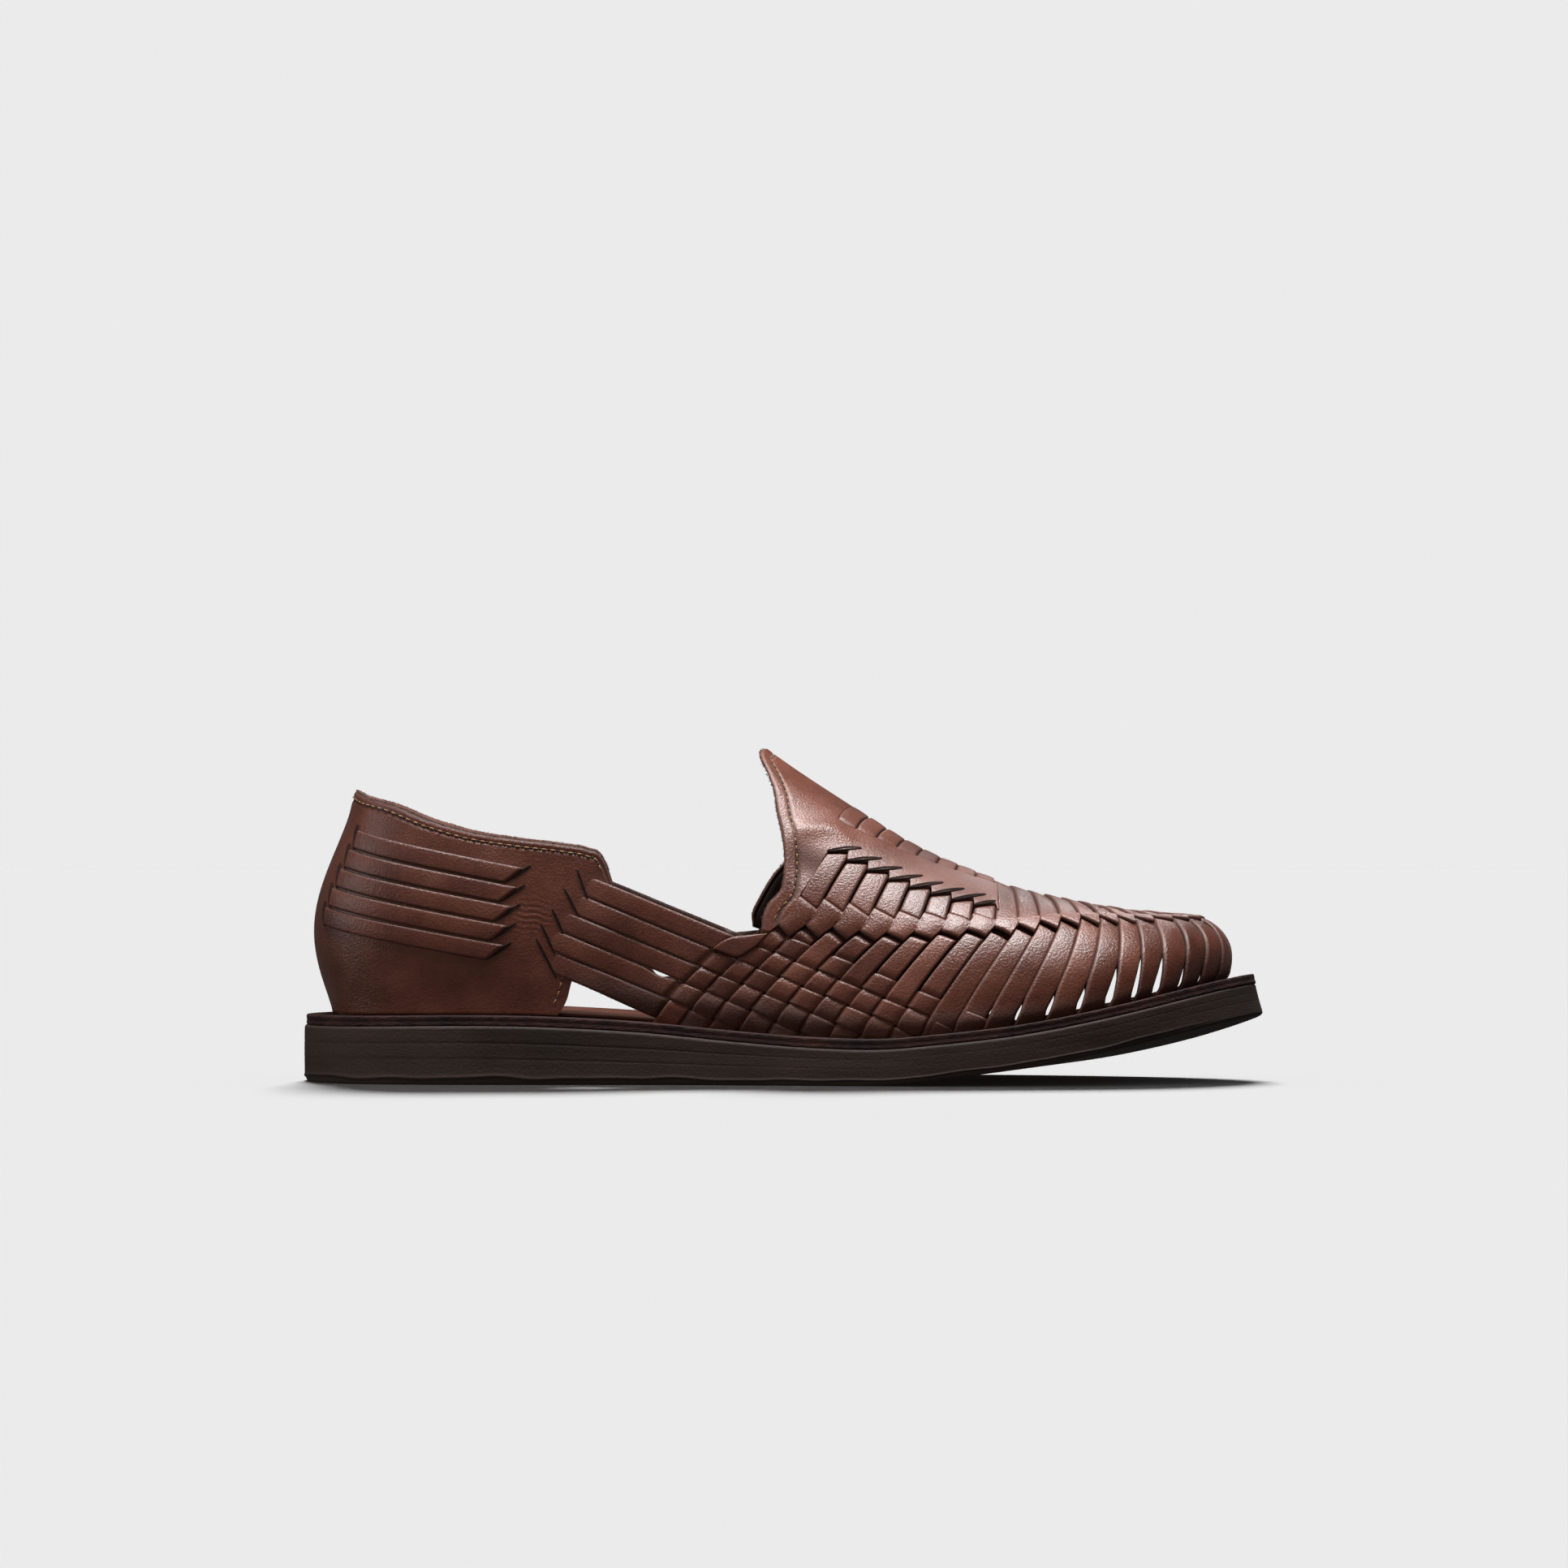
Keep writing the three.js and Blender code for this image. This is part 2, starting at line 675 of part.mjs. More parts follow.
// Free side strap as a flat ribbon from inside the counter to the first woven strip.
function strapRibbon(side, strap, clearance) {
  const slit = STRAP_SLITS[strap - 1].x;
  const endTurn = crossing(side, STRAP_END_STRIP, strap);
  const endX = surface(side, stripAlong(side, STRAP_END_STRIP, endTurn), endTurn).x;
  const startX = slit + STRAP_LIFT[0].ahead;
  const half = STRAP_WIDTH / 2 + clearance;
  const run = Math.hypot(1, STRAP_LINE.slope);
  return slab(1, STRAP_STEPS, (c, r, face) => {
    const x = THREE.MathUtils.lerp(startX, endX, r / STRAP_STEPS);
    const shift = ((c ? 1 : -1) * half) / run;
    const seenX = x + shift * STRAP_LINE.slope;
    const { along, turn } = sidePlace(side, seenX, strapZ(strap, x) + shift);
    const lift = read(STRAP_LIFT, 'ahead', 'lift', x - slit);
    return leather(side, along, turn, lift + (face ? clearance : -STRAP_THICKNESS - clearance));
  });
}

// Raised strips, bands and straps of one side, ahead of the throat.
function sidePieces(side) {
  const pieces = [];
  for (let strip = FINGERS.first; strip <= FINGERS.last; strip += 1) {
    pieces.push(stripFloat(side, strip));
  }
  pieces.push(weaveSheet(side));
  pieces.push(band(side, RIM_RUN.from, RIM_RUN.to,
    (along) => rimTurn(side, along) - RIM_BAND_HALF,
    (along) => rimTurn(side, along) + RIM_BAND_HALF, RIM_RUN.columns));
  pieces.push(band(side, CROWN_BAND.from, CROWN_BAND.to,
    () => CROWN_BAND.low, () => CROWN_BAND.high, CROWN_BAND.columns));
  for (let strap = 1; strap <= STRAP_COUNT; strap += 1) pieces.push(strapRibbon(side, strap, 0));
  return pieces;
}

function makeWovenUpper() {
  const pieces = [...makeFrontWall(), makePlug(), tipStrip()];
  for (let strip = FIRST_FREE_STRIP; strip < TIP_STRIP; strip += 1) pieces.push(toeStrip(strip));
  for (let strip = REAR_BARS.first; strip <= REAR_BARS.last; strip += 1) pieces.push(rearBar(strip));
  pieces.push(...SIDES.flatMap(sidePieces));
  const solids = pieces.map(toSolid);
  return toGeometry(solids.reduce((whole, piece) => whole.add(piece)));
}

function counterPlace(share, height) {
  const side = share < 0 ? OUTER : INNER;
  const along = Math.abs(share) * read(COUNTER_FRONT, 'share', 'along', height);
  const footZ = station(side, along).footZ;
  const z = THREE.MathUtils.lerp(footZ, read(COLLAR, 'share', 'z', Math.abs(share)), height);
  return { side, along, turn: turnAt(side, along, z) };
}

// Counter: one wall round the heel, with a slit for each side strap.
function makeCounter() {
  const heel = COUNTER_SHARES.length - 1;
  const wall = slab(2 * heel, COUNTER_ROWS, (c, r, face) => {
    const share = Math.sign(c - heel) * COUNTER_SHARES[Math.abs(c - heel)];
    const { side, along, turn } = counterPlace(share, r / COUNTER_ROWS);
    return leather(side, along, turn, face ? 0 : -COUNTER_WALL);
  });
  let counter = toSolid(wall);
  for (const side of SIDES) {
    for (let strap = 1; strap <= STRAP_COUNT; strap += 1) {
      counter = counter.subtract(toSolid(strapRibbon(side, strap, FIT_GAP)));
    }
  }
  return toGeometry(counter);
}

// Tail of a side strap, laid on the counter's outside with a slanting cut at its front end.
function makeTail(side, strap) {
  const step = strap - 1;
  const { rear, tip, cut, width, thickness, steps, crowding } = TAIL;
  const rearTop = { along: rear.along + rear.stepAlong * step, z: rear.z + rear.stepZ * step };
  const tipTop = { along: tip.along + tip.stepAlong * step, z: tip.z + tip.stepZ * step };
  return slab(1, steps, (c, r, face) => {
    const v = (r / steps) ** crowding;
    const along = THREE.MathUtils.lerp(rearTop.along, tipTop.along + (c ? 0 : cut), v);
    const slant = (along - rearTop.along) / (tipTop.along - rearTop.along);
    const z = THREE.MathUtils.lerp(rearTop.z, tipTop.z, slant) - (c ? 0 : width);
    return leather(side, along, turnAt(side, along, z), FIT_GAP + (face ? thickness : 0));
  });
}

const LEATHER = { color: 0x6e4132, roughness: 0.42, metalness: 0 };
const INSOLE_LEATHER = { color: 0xa0604e, roughness: 0.55, metalness: 0 };
const SOLE_LEATHER = { color: 0x372626, roughness: 0.8, metalness: 0 };
const RUBBER = { color: 0x342a25, roughness: 0.6, metalness: 0 };

const shoe = new THREE.Group();
function place(name, geometry, finish) {
  const mesh = new THREE.Mesh(geometry, new THREE.MeshStandardMaterial(finish));
  mesh.name = name;
  shoe.add(mesh);
}

place('outsole', makeOutsole(), RUBBER);
place('midsole', makeMidsole(), SOLE_LEATHER);
place('insole', makeInsole(), INSOLE_LEATHER);
place('woven_upper', makeWovenUpper(), LEATHER);
place('heel_counter', makeCounter(), LEATHER);
for (let strap = 1; strap <= STRAP_COUNT; strap += 1) {
  place(`strap_run_outer_${strap}`, makeTail(OUTER, strap), LEATHER);
  place(`strap_run_inner_${strap}`, makeTail(INNER, strap), LEATHER);
}

export default shoe;
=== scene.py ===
"""A woven leather loafer: the looks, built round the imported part, from the sole upwards."""

import bmesh
import bpy
import numpy as np
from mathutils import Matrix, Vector


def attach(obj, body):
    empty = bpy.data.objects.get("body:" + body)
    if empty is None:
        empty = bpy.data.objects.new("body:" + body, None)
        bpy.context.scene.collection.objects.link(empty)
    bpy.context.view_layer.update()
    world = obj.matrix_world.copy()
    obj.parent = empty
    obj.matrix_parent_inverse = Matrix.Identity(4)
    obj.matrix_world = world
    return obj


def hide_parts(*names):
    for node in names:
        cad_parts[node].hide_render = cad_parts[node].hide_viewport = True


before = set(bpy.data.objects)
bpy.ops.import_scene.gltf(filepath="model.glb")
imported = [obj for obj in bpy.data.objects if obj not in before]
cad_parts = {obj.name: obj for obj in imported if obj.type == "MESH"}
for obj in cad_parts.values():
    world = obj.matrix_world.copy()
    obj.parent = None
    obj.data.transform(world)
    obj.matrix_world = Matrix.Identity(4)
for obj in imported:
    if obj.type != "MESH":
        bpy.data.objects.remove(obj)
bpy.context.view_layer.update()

# Outsole: one thick slab of dark brown crepe-like rubber, cut to the outline of the last and trimmed
# on a knife wheel, which leaves faint lines along the side and a slightly ragged lower edge. It lies
# flat under heel and ball and springs up at the toe; the midsole is cemented on its top.
SOLE_OUTLINE = np.array([
    (-147.5, 1.0), (-138.5, -23.0), (-110.0, -35.0), (-68.0, -36.5), (-25.0, -38.0), (15.0, -45.0),
    (52.0, -50.2), (92.0, -48.5), (124.0, -33.0), (143.0, -11.0), (147.5, 6.0), (141.0, 23.0),
    (118.0, 38.0), (82.0, 48.0), (48.0, 50.0), (8.0, 41.0), (-35.0, 32.0), (-75.0, 32.5),
    (-112.0, 33.5), (-138.5, 24.0)])
TOE_ROW = 10
TOE_SPRING = [(20, 0), (45, 0.4), (60, 2), (90, 6), (115, 11.3), (147, 20.3)]
SPRING_SKEW = 0.3
SOLE_THICKNESS = [(-147, 20.6), (-70, 20.6), (-42, 19), (-16, 16.5), (8, 14.7), (30, 14), (147, 13.3)]
MIDSOLE_THICKNESS = 3.2
FIT_GAP = 0.3
OUTSOLE_ROUND = 0.9
EDGE_LENGTH = 330.0
SOLE_STEPS = 300
WALL_DEPTH = 20.0
TRIM_LINES = [(5.0, 0.11, 0.384), (11.0, 0.08, 0.352)]
RAGGED_LIP = 18.4
TOE_SLANT = 2.6
MIDSOLE_SLANT = 0.8 * TOE_SLANT
SEAM_GAP, FLAT_EDGE = 2e-6, 1e-7


def row(at, table):
    """Smooth curve through a table's points: cubic pieces whose slope at a point is the weighted
    mean of the chords on either side of it, held level beyond the ends."""
    xs, ys = np.array(table, float).T
    slope = np.gradient(ys, xs)
    at = np.clip(at, xs[0], xs[-1])
    i = np.clip(np.searchsorted(xs, at, side="right") - 1, 0, len(xs) - 2)
    span = xs[i + 1] - xs[i]
    f = (at - xs[i]) / span
    return ((2 * f**3 - 3 * f**2 + 1) * ys[i] + (f**3 - 2 * f**2 + f) * span * slope[i]
            + (3 * f**2 - 2 * f**3) * ys[i + 1] + (f**3 - f**2) * span * slope[i + 1])


def ease(at, start, end):
    """Rises from 0 at start to 1 at end along the curve 3f^2 - 2f^3."""
    f = np.clip((at - start) / (end - start), 0, 1)
    return f * f * (3 - 2 * f)


def unit(ways):
    """Directions of length 1: each one divided by its length."""
    return ways / np.linalg.norm(ways, axis=-1, keepdims=True)


def length_along(points):
    """Length of a line of points from its start to each of them: the sum of its chords."""
    return np.concatenate([[0], np.cumsum(np.linalg.norm(np.diff(points, axis=0), axis=1))])


def half_outline(first):
    """One side of the outline from heel to toe: the closed cubic B-spline whose control points are
    pushed until it passes through the outline's points, sampled evenly, with its share of the length
    and its outward direction."""
    control = SOLE_OUTLINE.copy()
    for _ in range(80):
        reached = (np.roll(control, 1, 0) + 4 * control + np.roll(control, -1, 0)) / 6
        control = control + SOLE_OUTLINE - reached
    u = np.linspace(first, TOE_ROW, 1601)
    i = np.floor(u).astype(int)
    f = (u - i)[:, None]
    weights = ((1 - f) ** 3, 3 * f**3 - 6 * f**2 + 4, -3 * f**3 + 3 * f**2 + 3 * f + 1, f**3)
    plan = sum(w * control[(i + k - 1) % len(control)] for k, w in enumerate(weights)) / 6
    length = length_along(plan)
    slopes = (-3 * (1 - f) ** 2, 9 * f**2 - 12 * f, -9 * f**2 + 6 * f + 3, 3 * f**2)
    round_way = sum(w * control[(i + k - 1) % len(control)] for k, w in enumerate(slopes))
    out = unit(np.stack([round_way[:, 1], -round_way[:, 0]], 1))
    return length / length[-1], np.concatenate([plan, out], 1)


OUTER_HALF = half_outline(0)
INNER_HALF = half_outline(len(SOLE_OUTLINE))


def between(at, ranks, table):
    """Rows of a table at places between its ranks, each column drawn straight from row to row."""
    return np.stack([np.interp(at, ranks, column) for column in table.T], -1)


def sole_edge(side, along):
    """Point on the sole's edge at a share of the way from heel to toe, and its outward direction.
    Side is -1 on the outer side of the foot and 1 on the inner side."""
    outer, inner = between(along, *OUTER_HALF), between(along, *INNER_HALF)
    found = np.where(np.asarray(side)[..., None] < 0, outer, inner)
    return found[..., :2], found[..., 2:]


def tread_z(x, y):
    """Height of the sole's underside: level, then the toe spring, whose line is askew to the shoe."""
    return row(x - SPRING_SKEW * y, TOE_SPRING)


def sole_top_z(x, y):
    """Height of the midsole's top: the underside plus the thickness at that place."""
    return tread_z(x, y) + row(x, SOLE_THICKNESS)


def midsole_foot_z(x, y):
    """Height of the joint between outsole and midsole."""
    return sole_top_z(x, y) - MIDSOLE_THICKNESS


def crowded_ends(count):
    """Shares from 0 to 1, closer together near both ends: half even steps and half cosine steps."""
    even = np.linspace(0, 1, count)
    return 0.5 * even + 0.25 * (1 - np.cos(np.pi * even))


def sole_layer(inset, toe_in, low, high, round_over, wall_rows, uneven):
    """Slab of the sole: a half profile from the top's middle, over a rounded edge, down the wall and
    in to the middle of the underside, set at every step from heel to toe on both sides. Uneven gives
    each corner a small push outward by its distance along the edge and its depth below the top. At the
    toe the wall slants: toe_in says how far it is drawn in at the top and at the bottom."""
    along = crowded_ends(SOLE_STEPS)
    turn = np.linspace(0, np.pi / 2, 5)
    wall = np.linspace(0, 1, wall_rows)[1:-1]
    to_middle = np.concatenate([[1, 0.6, 0.25], 0 * turn, 0 * wall, 0 * turn, [0.25, 0.6, 1]])
    draw_in = round_over * np.concatenate(
        [[1, 1, 1], 1 - np.sin(turn), 0 * wall, 1 - np.cos(turn), [1, 1, 1]])
    drop = round_over * np.concatenate(
        [[0, 0, 0], 1 - np.cos(turn), 1 - 2 * wall, np.sin(turn) - 1, [0, 0, 0]])
    level = np.concatenate([[0, 0, 0], 0 * turn, wall, 0 * turn + 1, [1, 1, 1]])
    halves = []
    for side in (-1, 1):
        push = uneven(along[:, None] * EDGE_LENGTH * -side, level[None, :] * WALL_DEPTH) * (to_middle == 0)
        drawn = []
        for edge, out in (sole_edge(side, along), sole_edge(-side, along)):
            slant = np.maximum(out[:, :1], 0) ** 2 * (toe_in[0] + (toe_in[1] - toe_in[0]) * level)
            drawn.append(edge[:, None] - out[:, None] * (inset + draw_in + slant - push)[..., None])
        plan = drawn[0] + (drawn[1] - drawn[0]) / 2 * to_middle[None, :, None]
        x, y = plan[..., 0], plan[..., 1]
        z = high(x, y) * (1 - level) + low(x, y) * level - drop
        halves.append(np.stack([x, y, z], -1))
    ring = np.concatenate([halves[0], halves[1][:, ::-1]], 1)
    return {"points": ring, "round": True}


def piece(name, grids, finishes):
    """One object from a list of grids of corner points, rows by columns, in millimetres. A round
    grid's columns close on themselves. Each grid may carry, corner by corner, a shade, and as a whole
    a tint, which the finishes read. Corners that coincide are merged, which closes seams and poles."""
    corners, faces, shades, tints, count = [], [], [], [], 0
    for grid in grids:
        points = grid["points"]
        rows, columns = points.shape[:2]
        r, c = np.meshgrid(np.arange(rows - 1), np.arange(columns if grid.get("round") else columns - 1),
                           indexing="ij")
        d = (c + 1) % columns
        this, following = r * columns, (r + 1) * columns
        quads = np.stack([this + c, this + d, following + d, following + c], -1)
        keep = grid.get("keep")
        quads = quads.reshape(-1, 4) if keep is None else quads[keep]
        if grid.get("flip"):
            quads = quads[:, ::-1]
        used, place = np.unique(quads, return_inverse=True)
        corners.append(points.reshape(-1, 3)[used] / 1000)
        faces.append(place.reshape(-1, 4) + count)
        shades.append(np.broadcast_to(grid.get("shade", 0.0), (rows, columns)).ravel()[used])
        tints.append(np.full(len(used), grid.get("tint", 0.5)))
        count += len(used)
    mesh = bpy.data.meshes.new(name)
    mesh.from_pydata(np.concatenate(corners), [], np.concatenate(faces))
    for label, values in (("shade", shades), ("tint", tints)):
        mesh.attributes.new(label, "FLOAT", "POINT").data.foreach_set("value", np.concatenate(values))
    work = bmesh.new()
    work.from_mesh(mesh)
    bmesh.ops.remove_doubles(work, verts=work.verts, dist=SEAM_GAP)
    bmesh.ops.dissolve_degenerate(work, edges=work.edges, dist=FLAT_EDGE)
    if all(grid.get("round") for grid in grids):
        bmesh.ops.recalc_face_normals(work, faces=work.faces)
    work.to_mesh(mesh)
    work.free()
    mesh.polygons.foreach_set("use_smooth", np.ones(len(mesh.polygons), bool))
    for finish in finishes:
        mesh.materials.append(finish)
    made = bpy.data.objects.new(name, mesh)
    bpy.context.scene.collection.objects.link(made)
    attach(made, "root")
    return made


class Finish:
    """A material in the making, with the few kinds of node that this shoe's finishes are mixed from."""

    def __init__(self, name):
        """Starts from a plain shader."""
        self.material = bpy.data.materials.new(name)
        self.material.use_nodes = True
        self.tree = self.material.node_tree
        self.shader = self.tree.nodes["Principled BSDF"]

    def add(self, kind, links=(), **values):
        """New node with settings or inputs given by name, and links into its sockets."""
        node = self.tree.nodes.new(kind)
        for key, value in values.items():
            if hasattr(node, key):
                setattr(node, key, value)
            else:
                node.inputs[key.replace("_", " ")].default_value = value
        for socket, source in links:
            self.tree.links.new(source, node.inputs[socket])
        return node

    def even(self, **values):
        """Sets what is the same all over the surface on the shader itself."""
        for key, value in values.items():
            self.shader.inputs[key.replace("_", " ")].default_value = value

    def uneven(self, socket, source):
        """Lets a node's output drive one of the shader's inputs."""
        self.tree.links.new(source, self.shader.inputs[socket])

    def place(self):
        """Coordinates of the piece."""
        return self.add("ShaderNodeTexCoord").outputs["Object"]

    def stretched(self, place, scale):
        """Coordinates multiplied by a scale for each axis."""
        return self.add("ShaderNodeMapping", [("Vector", place)], Scale=scale).outputs["Vector"]

    def cloud(self, place, scale, detail, roughness=0.5):
        """Noise between 0 and 1."""
        return self.add("ShaderNodeTexNoise", [("Vector", place)], Scale=scale, Detail=detail,
                        Roughness=roughness).outputs["Fac"]

    def both(self, one, two, how="ADD"):
        """Sum or product of two values."""
        return self.add("ShaderNodeMath", [(0, one), (1, two)], operation=how).outputs[0]

    def more(self, value, extra, times):
        """Value plus some times an extra one."""
        node = self.add("ShaderNodeMath", [(0, extra), (2, value)], operation="MULTIPLY_ADD")
        node.inputs[1].default_value = times
        return node.outputs[0]

    def spread(self, value, low, high, to_low=0.0, to_high=1.0):
        """Value carried from one range to another and held at the ends."""
        return self.add("ShaderNodeMapRange", [("Value", value)], From_Min=low, From_Max=high,
                        To_Min=to_low, To_Max=to_high).outputs[0]

    def two_tone(self, share, dark, light):
        """Base colour that goes from a dark to a light tone by a share."""
        colour = self.add("ShaderNodeMix", [(0, share)], data_type="RGBA")
        colour.inputs[6].default_value = dark
        colour.inputs[7].default_value = light
        self.uneven("Base Color", colour.outputs[2])

    def dent(self, height, strength, depth):
        """Fine relief that follows a height."""
        bump = self.add("ShaderNodeBump", [("Height", height)], Strength=strength, Distance=depth)
        self.uneven("Normal", bump.outputs[0])


def rubber(name, dark, light, roughness):
    """Dark rubber: two browns mixed by a slow cloud, streaked lengthwise by the trimming wheel, with
    a fine crumb that roughens and dents it."""
    finish = Finish(name)
    place = finish.place()
    cloud = finish.cloud(place, 38.0, 4.0)
    streak = finish.cloud(finish.stretched(place, (12, 40, 260)), 1.0, 3.0)
    crumb = finish.cloud(place, 1500.0, 2.0)
    finish.two_tone(finish.spread(finish.both(cloud, streak), 0.7, 1.35), dark, light)
    finish.uneven("Roughness", finish.spread(crumb, 0, 1, roughness - 0.1, roughness + 0.12))
    finish.even(Specular_IOR_Level=0.25)
    finish.dent(finish.both(streak, crumb), 0.35, 0.0004)
    return finish.material


def wave(run, turns, start=0.0):
    """Sine with a whole number of turns round the sole's edge, so that it meets itself at the toe."""
    return np.sin(2 * np.pi * turns * run / (2 * EDGE_LENGTH) + start)


def hump(at, middle, width):
    """Bell curve: 1 at the middle, falling as the exponential of the squared distance in widths."""
    return np.exp(-(((at - middle) / width) ** 2))


def trimmed_edge(run, depth):
    """Trim lines cut into the wall at set depths, and a ragged lower edge that swells and shrinks."""
    push = 0.08 * wave(run, 3, depth / 6.0)
    for at, deep, wide in TRIM_LINES:
        line = at + 0.5 * wave(run, 2) + 0.25 * wave(run, 6, 1.0)
        fades = 0.6 + 0.5 * wave(run, 3, at) * wave(run, 1, 0.4)
        push = push - deep * fades * hump(depth, line, wide)
    ragged = wave(run, 24) + wave(run, 13, 2.0) + wave(run, 39, 0.6) * 0.6
    lip = RAGGED_LIP + 0.3 * ragged
    cut = 1 - ease(np.abs(run), 255, 300)
    return push + cut * (0.2 * hump(depth, lip, 0.8) - 0.5 * ease(depth, lip, lip + 0.9))


outsole = piece("rubber_outsole", [sole_layer(
    inset=0.0, toe_in=(MIDSOLE_SLANT, 0.0), low=tread_z, high=midsole_foot_z, round_over=OUTSOLE_ROUND,
    wall_rows=64, uneven=trimmed_edge)],
    [rubber("brown_rubber", dark=(0.026, 0.0157, 0.0116, 1), light=(0.047, 0.0290, 0.0220, 1),
            roughness=0.7)])
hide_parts("outsole")

# Midsole: a sheet of firm leather board between the outsole and the upper, cut a shade smaller than the
# outsole and inked dark; its cut edge shows the reddish fibres. The upper's feet are cemented onto it.
MIDSOLE_STEP = 0.6
MIDSOLE_ROUND = 0.5


def fibre_edge(run, depth):
    """Cut edge of the board: a fine unevenness along it and a shallow hollow at mid thickness."""
    fray = wave(run, 62) * wave(run, 21) + 0.7 * wave(run, 117, depth)
    return 0.07 * fray - 0.12 * hump(depth, 11, 5)


def board(name, dark, red):
    """Inked leather board: dark brown with reddish fibres, coarse and dry."""
    finish = Finish(name)
    place = finish.place()
    fibre = finish.cloud(finish.stretched(place, (420, 700, 1500)), 1.0, 5.0, 0.7)
    cloud = finish.cloud(place, 70.0, 3.0)
    finish.two_tone(finish.spread(finish.both(fibre, cloud, "MULTIPLY"), 0.16, 0.42), dark, red)
    finish.uneven("Roughness", finish.spread(fibre, 0, 1, 0.6, 0.95))
    finish.even(Specular_IOR_Level=0.25)
    finish.dent(fibre, 0.7, 0.0006)
    return finish.material


midsole = piece("leather_midsole", [sole_layer(
    inset=MIDSOLE_STEP, toe_in=(TOE_SLANT - MIDSOLE_STEP, MIDSOLE_SLANT - MIDSOLE_STEP), low=midsole_foot_z,
    high=sole_top_z, round_over=MIDSOLE_ROUND, wall_rows=14, uneven=fibre_edge)],
    [board("inked_leather_board", dark=(0.011, 0.0050, 0.0042, 1), red=(0.066, 0.023, 0.018, 1))])
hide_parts("midsole")

# Insole: a sock of dull reddish leather that covers the midsole inside the shoe, wall to wall, glued
# down. It shows at the open waist and from above.
SIDE_INSET, HEEL_INSET, TOE_INSET = 4.0, 8.6, 10.6
INSOLE_INSIDE = 3.2
INSOLE_THICKNESS = 1.5
INSOLE_STEPS, INSOLE_COLUMNS = 160, 24
# Dark brown of the cut edges, which is also the colour of the painted shade in tucks, seams, slits and near
# the sole.
CUT_EDGE_AND_SHADE_BROWN = (0.010, 0.0045, 0.0035, 1)
TINT_WEIGHT = 0.5
EDGE_DULLNESS = 0.9


def featherline(side, along):
    """Line where the upper meets the sole: the sole's edge drawn in, further at heel and toe by the
    square of how far the edge faces along the shoe. Gives the point and the outward direction."""
    edge, out = sole_edge(side, along)
    end = np.where(out[..., 0] < 0, HEEL_INSET, TOE_INSET)
    inset = SIDE_INSET + (end - SIDE_INSET) * out[..., 0] ** 2
    return edge - out * inset[..., None], out


def insole_sheet():
    """Sock from wall to wall: a row across the foot at each step from heel to toe, closed into a slab
    by carrying the row back underneath."""
    along = crowded_ends(INSOLE_STEPS)
    outer, outer_way = featherline(-1, along)
    inner, inner_way = featherline(1, along)
    outer = outer - outer_way * INSOLE_INSIDE
    inner = inner - inner_way * INSOLE_INSIDE
    f = np.linspace(0, 1, INSOLE_COLUMNS)
    f = np.concatenate([f, f[::-1]])
    top = np.repeat([1.0, 0.0], INSOLE_COLUMNS)
    rim = np.minimum(np.minimum(f, 1 - f) * 60, 1)
    plan = outer[:, None] + (inner - outer)[:, None] * f[None, :, None]
    x, y = plan[..., 0], plan[..., 1]
    z = sole_top_z(x, y) + FIT_GAP + top * INSOLE_THICKNESS - top * 0.5 * (1 - rim)
    return {"points": np.stack([x, y, z], -1), "round": True}


def leather(name, deep, mid, pale, roughness, grain, grain_depth, coat, shine=0.5):
    """Vegetable tanned leather: a cloud of three browns, drawn toward a dark brown where a corner's shade
    says so, each strip a little lighter or darker by its tint. The shade darkens the cut edges, and it is
    painted shade where a strip is tucked under a band or dives into a slit, in seams and grooves, and near
    the sole. Fine pebbled grain with pores, and a waxed face whose gloss wanders and is lost at the cut
    edges and in the painted shade."""
    finish = Finish(name)
    place = finish.place()
    cloud = finish.cloud(place, 85.0, 5.0, 0.62)
    blotch = finish.cloud(place, 22.0, 2.0)
    tint = finish.add("ShaderNodeAttribute", attribute_name="tint").outputs["Fac"]
    shade = finish.add("ShaderNodeAttribute", attribute_name="shade").outputs["Fac"]
    tinted = finish.more(finish.both(cloud, blotch), tint, TINT_WEIGHT)
    ramp = finish.add("ShaderNodeValToRGB", [("Fac", finish.spread(tinted, 0.85, 1.65))])
    ramp.color_ramp.elements[0].color = deep
    ramp.color_ramp.elements[1].color = pale
    ramp.color_ramp.elements.new(0.5).color = mid
    # Painted shade and the cut edges' own darkness, both read from the shade attribute, mix the colour
    # toward the dark brown.
    edge_and_painted_shade = finish.spread(finish.both(shade, cloud, "MULTIPLY"), 0.08, 0.5)
    colour = finish.add("ShaderNodeMix", [(0, edge_and_painted_shade), (6, ramp.outputs["Color"])], data_type="RGBA")
    colour.inputs[7].default_value = CUT_EDGE_AND_SHADE_BROWN
    finish.uneven("Base Color", colour.outputs[2])
    pebble = finish.add("ShaderNodeTexVoronoi", [("Vector", place)], Scale=grain, feature="SMOOTH_F1")
    pore = finish.cloud(place, grain * 1.9, 3.0)
    finish.dent(finish.both(pebble.outputs["Distance"], pore), grain_depth, 0.0005)
    rough = finish.spread(finish.both(cloud, pore), 0.7, 1.3, roughness - 0.07, roughness + 0.09)
    finish.uneven("Roughness", finish.more(rough, shade, EDGE_DULLNESS))
    finish.even(Coat_Weight=coat, Coat_Roughness=0.38, Specular_IOR_Level=shine)
    return finish.material


insole = piece("insole_sock", [insole_sheet()], [leather(
    "reddish_sock_leather", deep=(0.058, 0.021, 0.014, 1), mid=(0.088, 0.032, 0.021, 1),
    pale=(0.120, 0.046, 0.031, 1), roughness=0.62, grain=1100.0, grain_depth=0.12, coat=0.0, shine=0.12)])
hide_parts("insole")

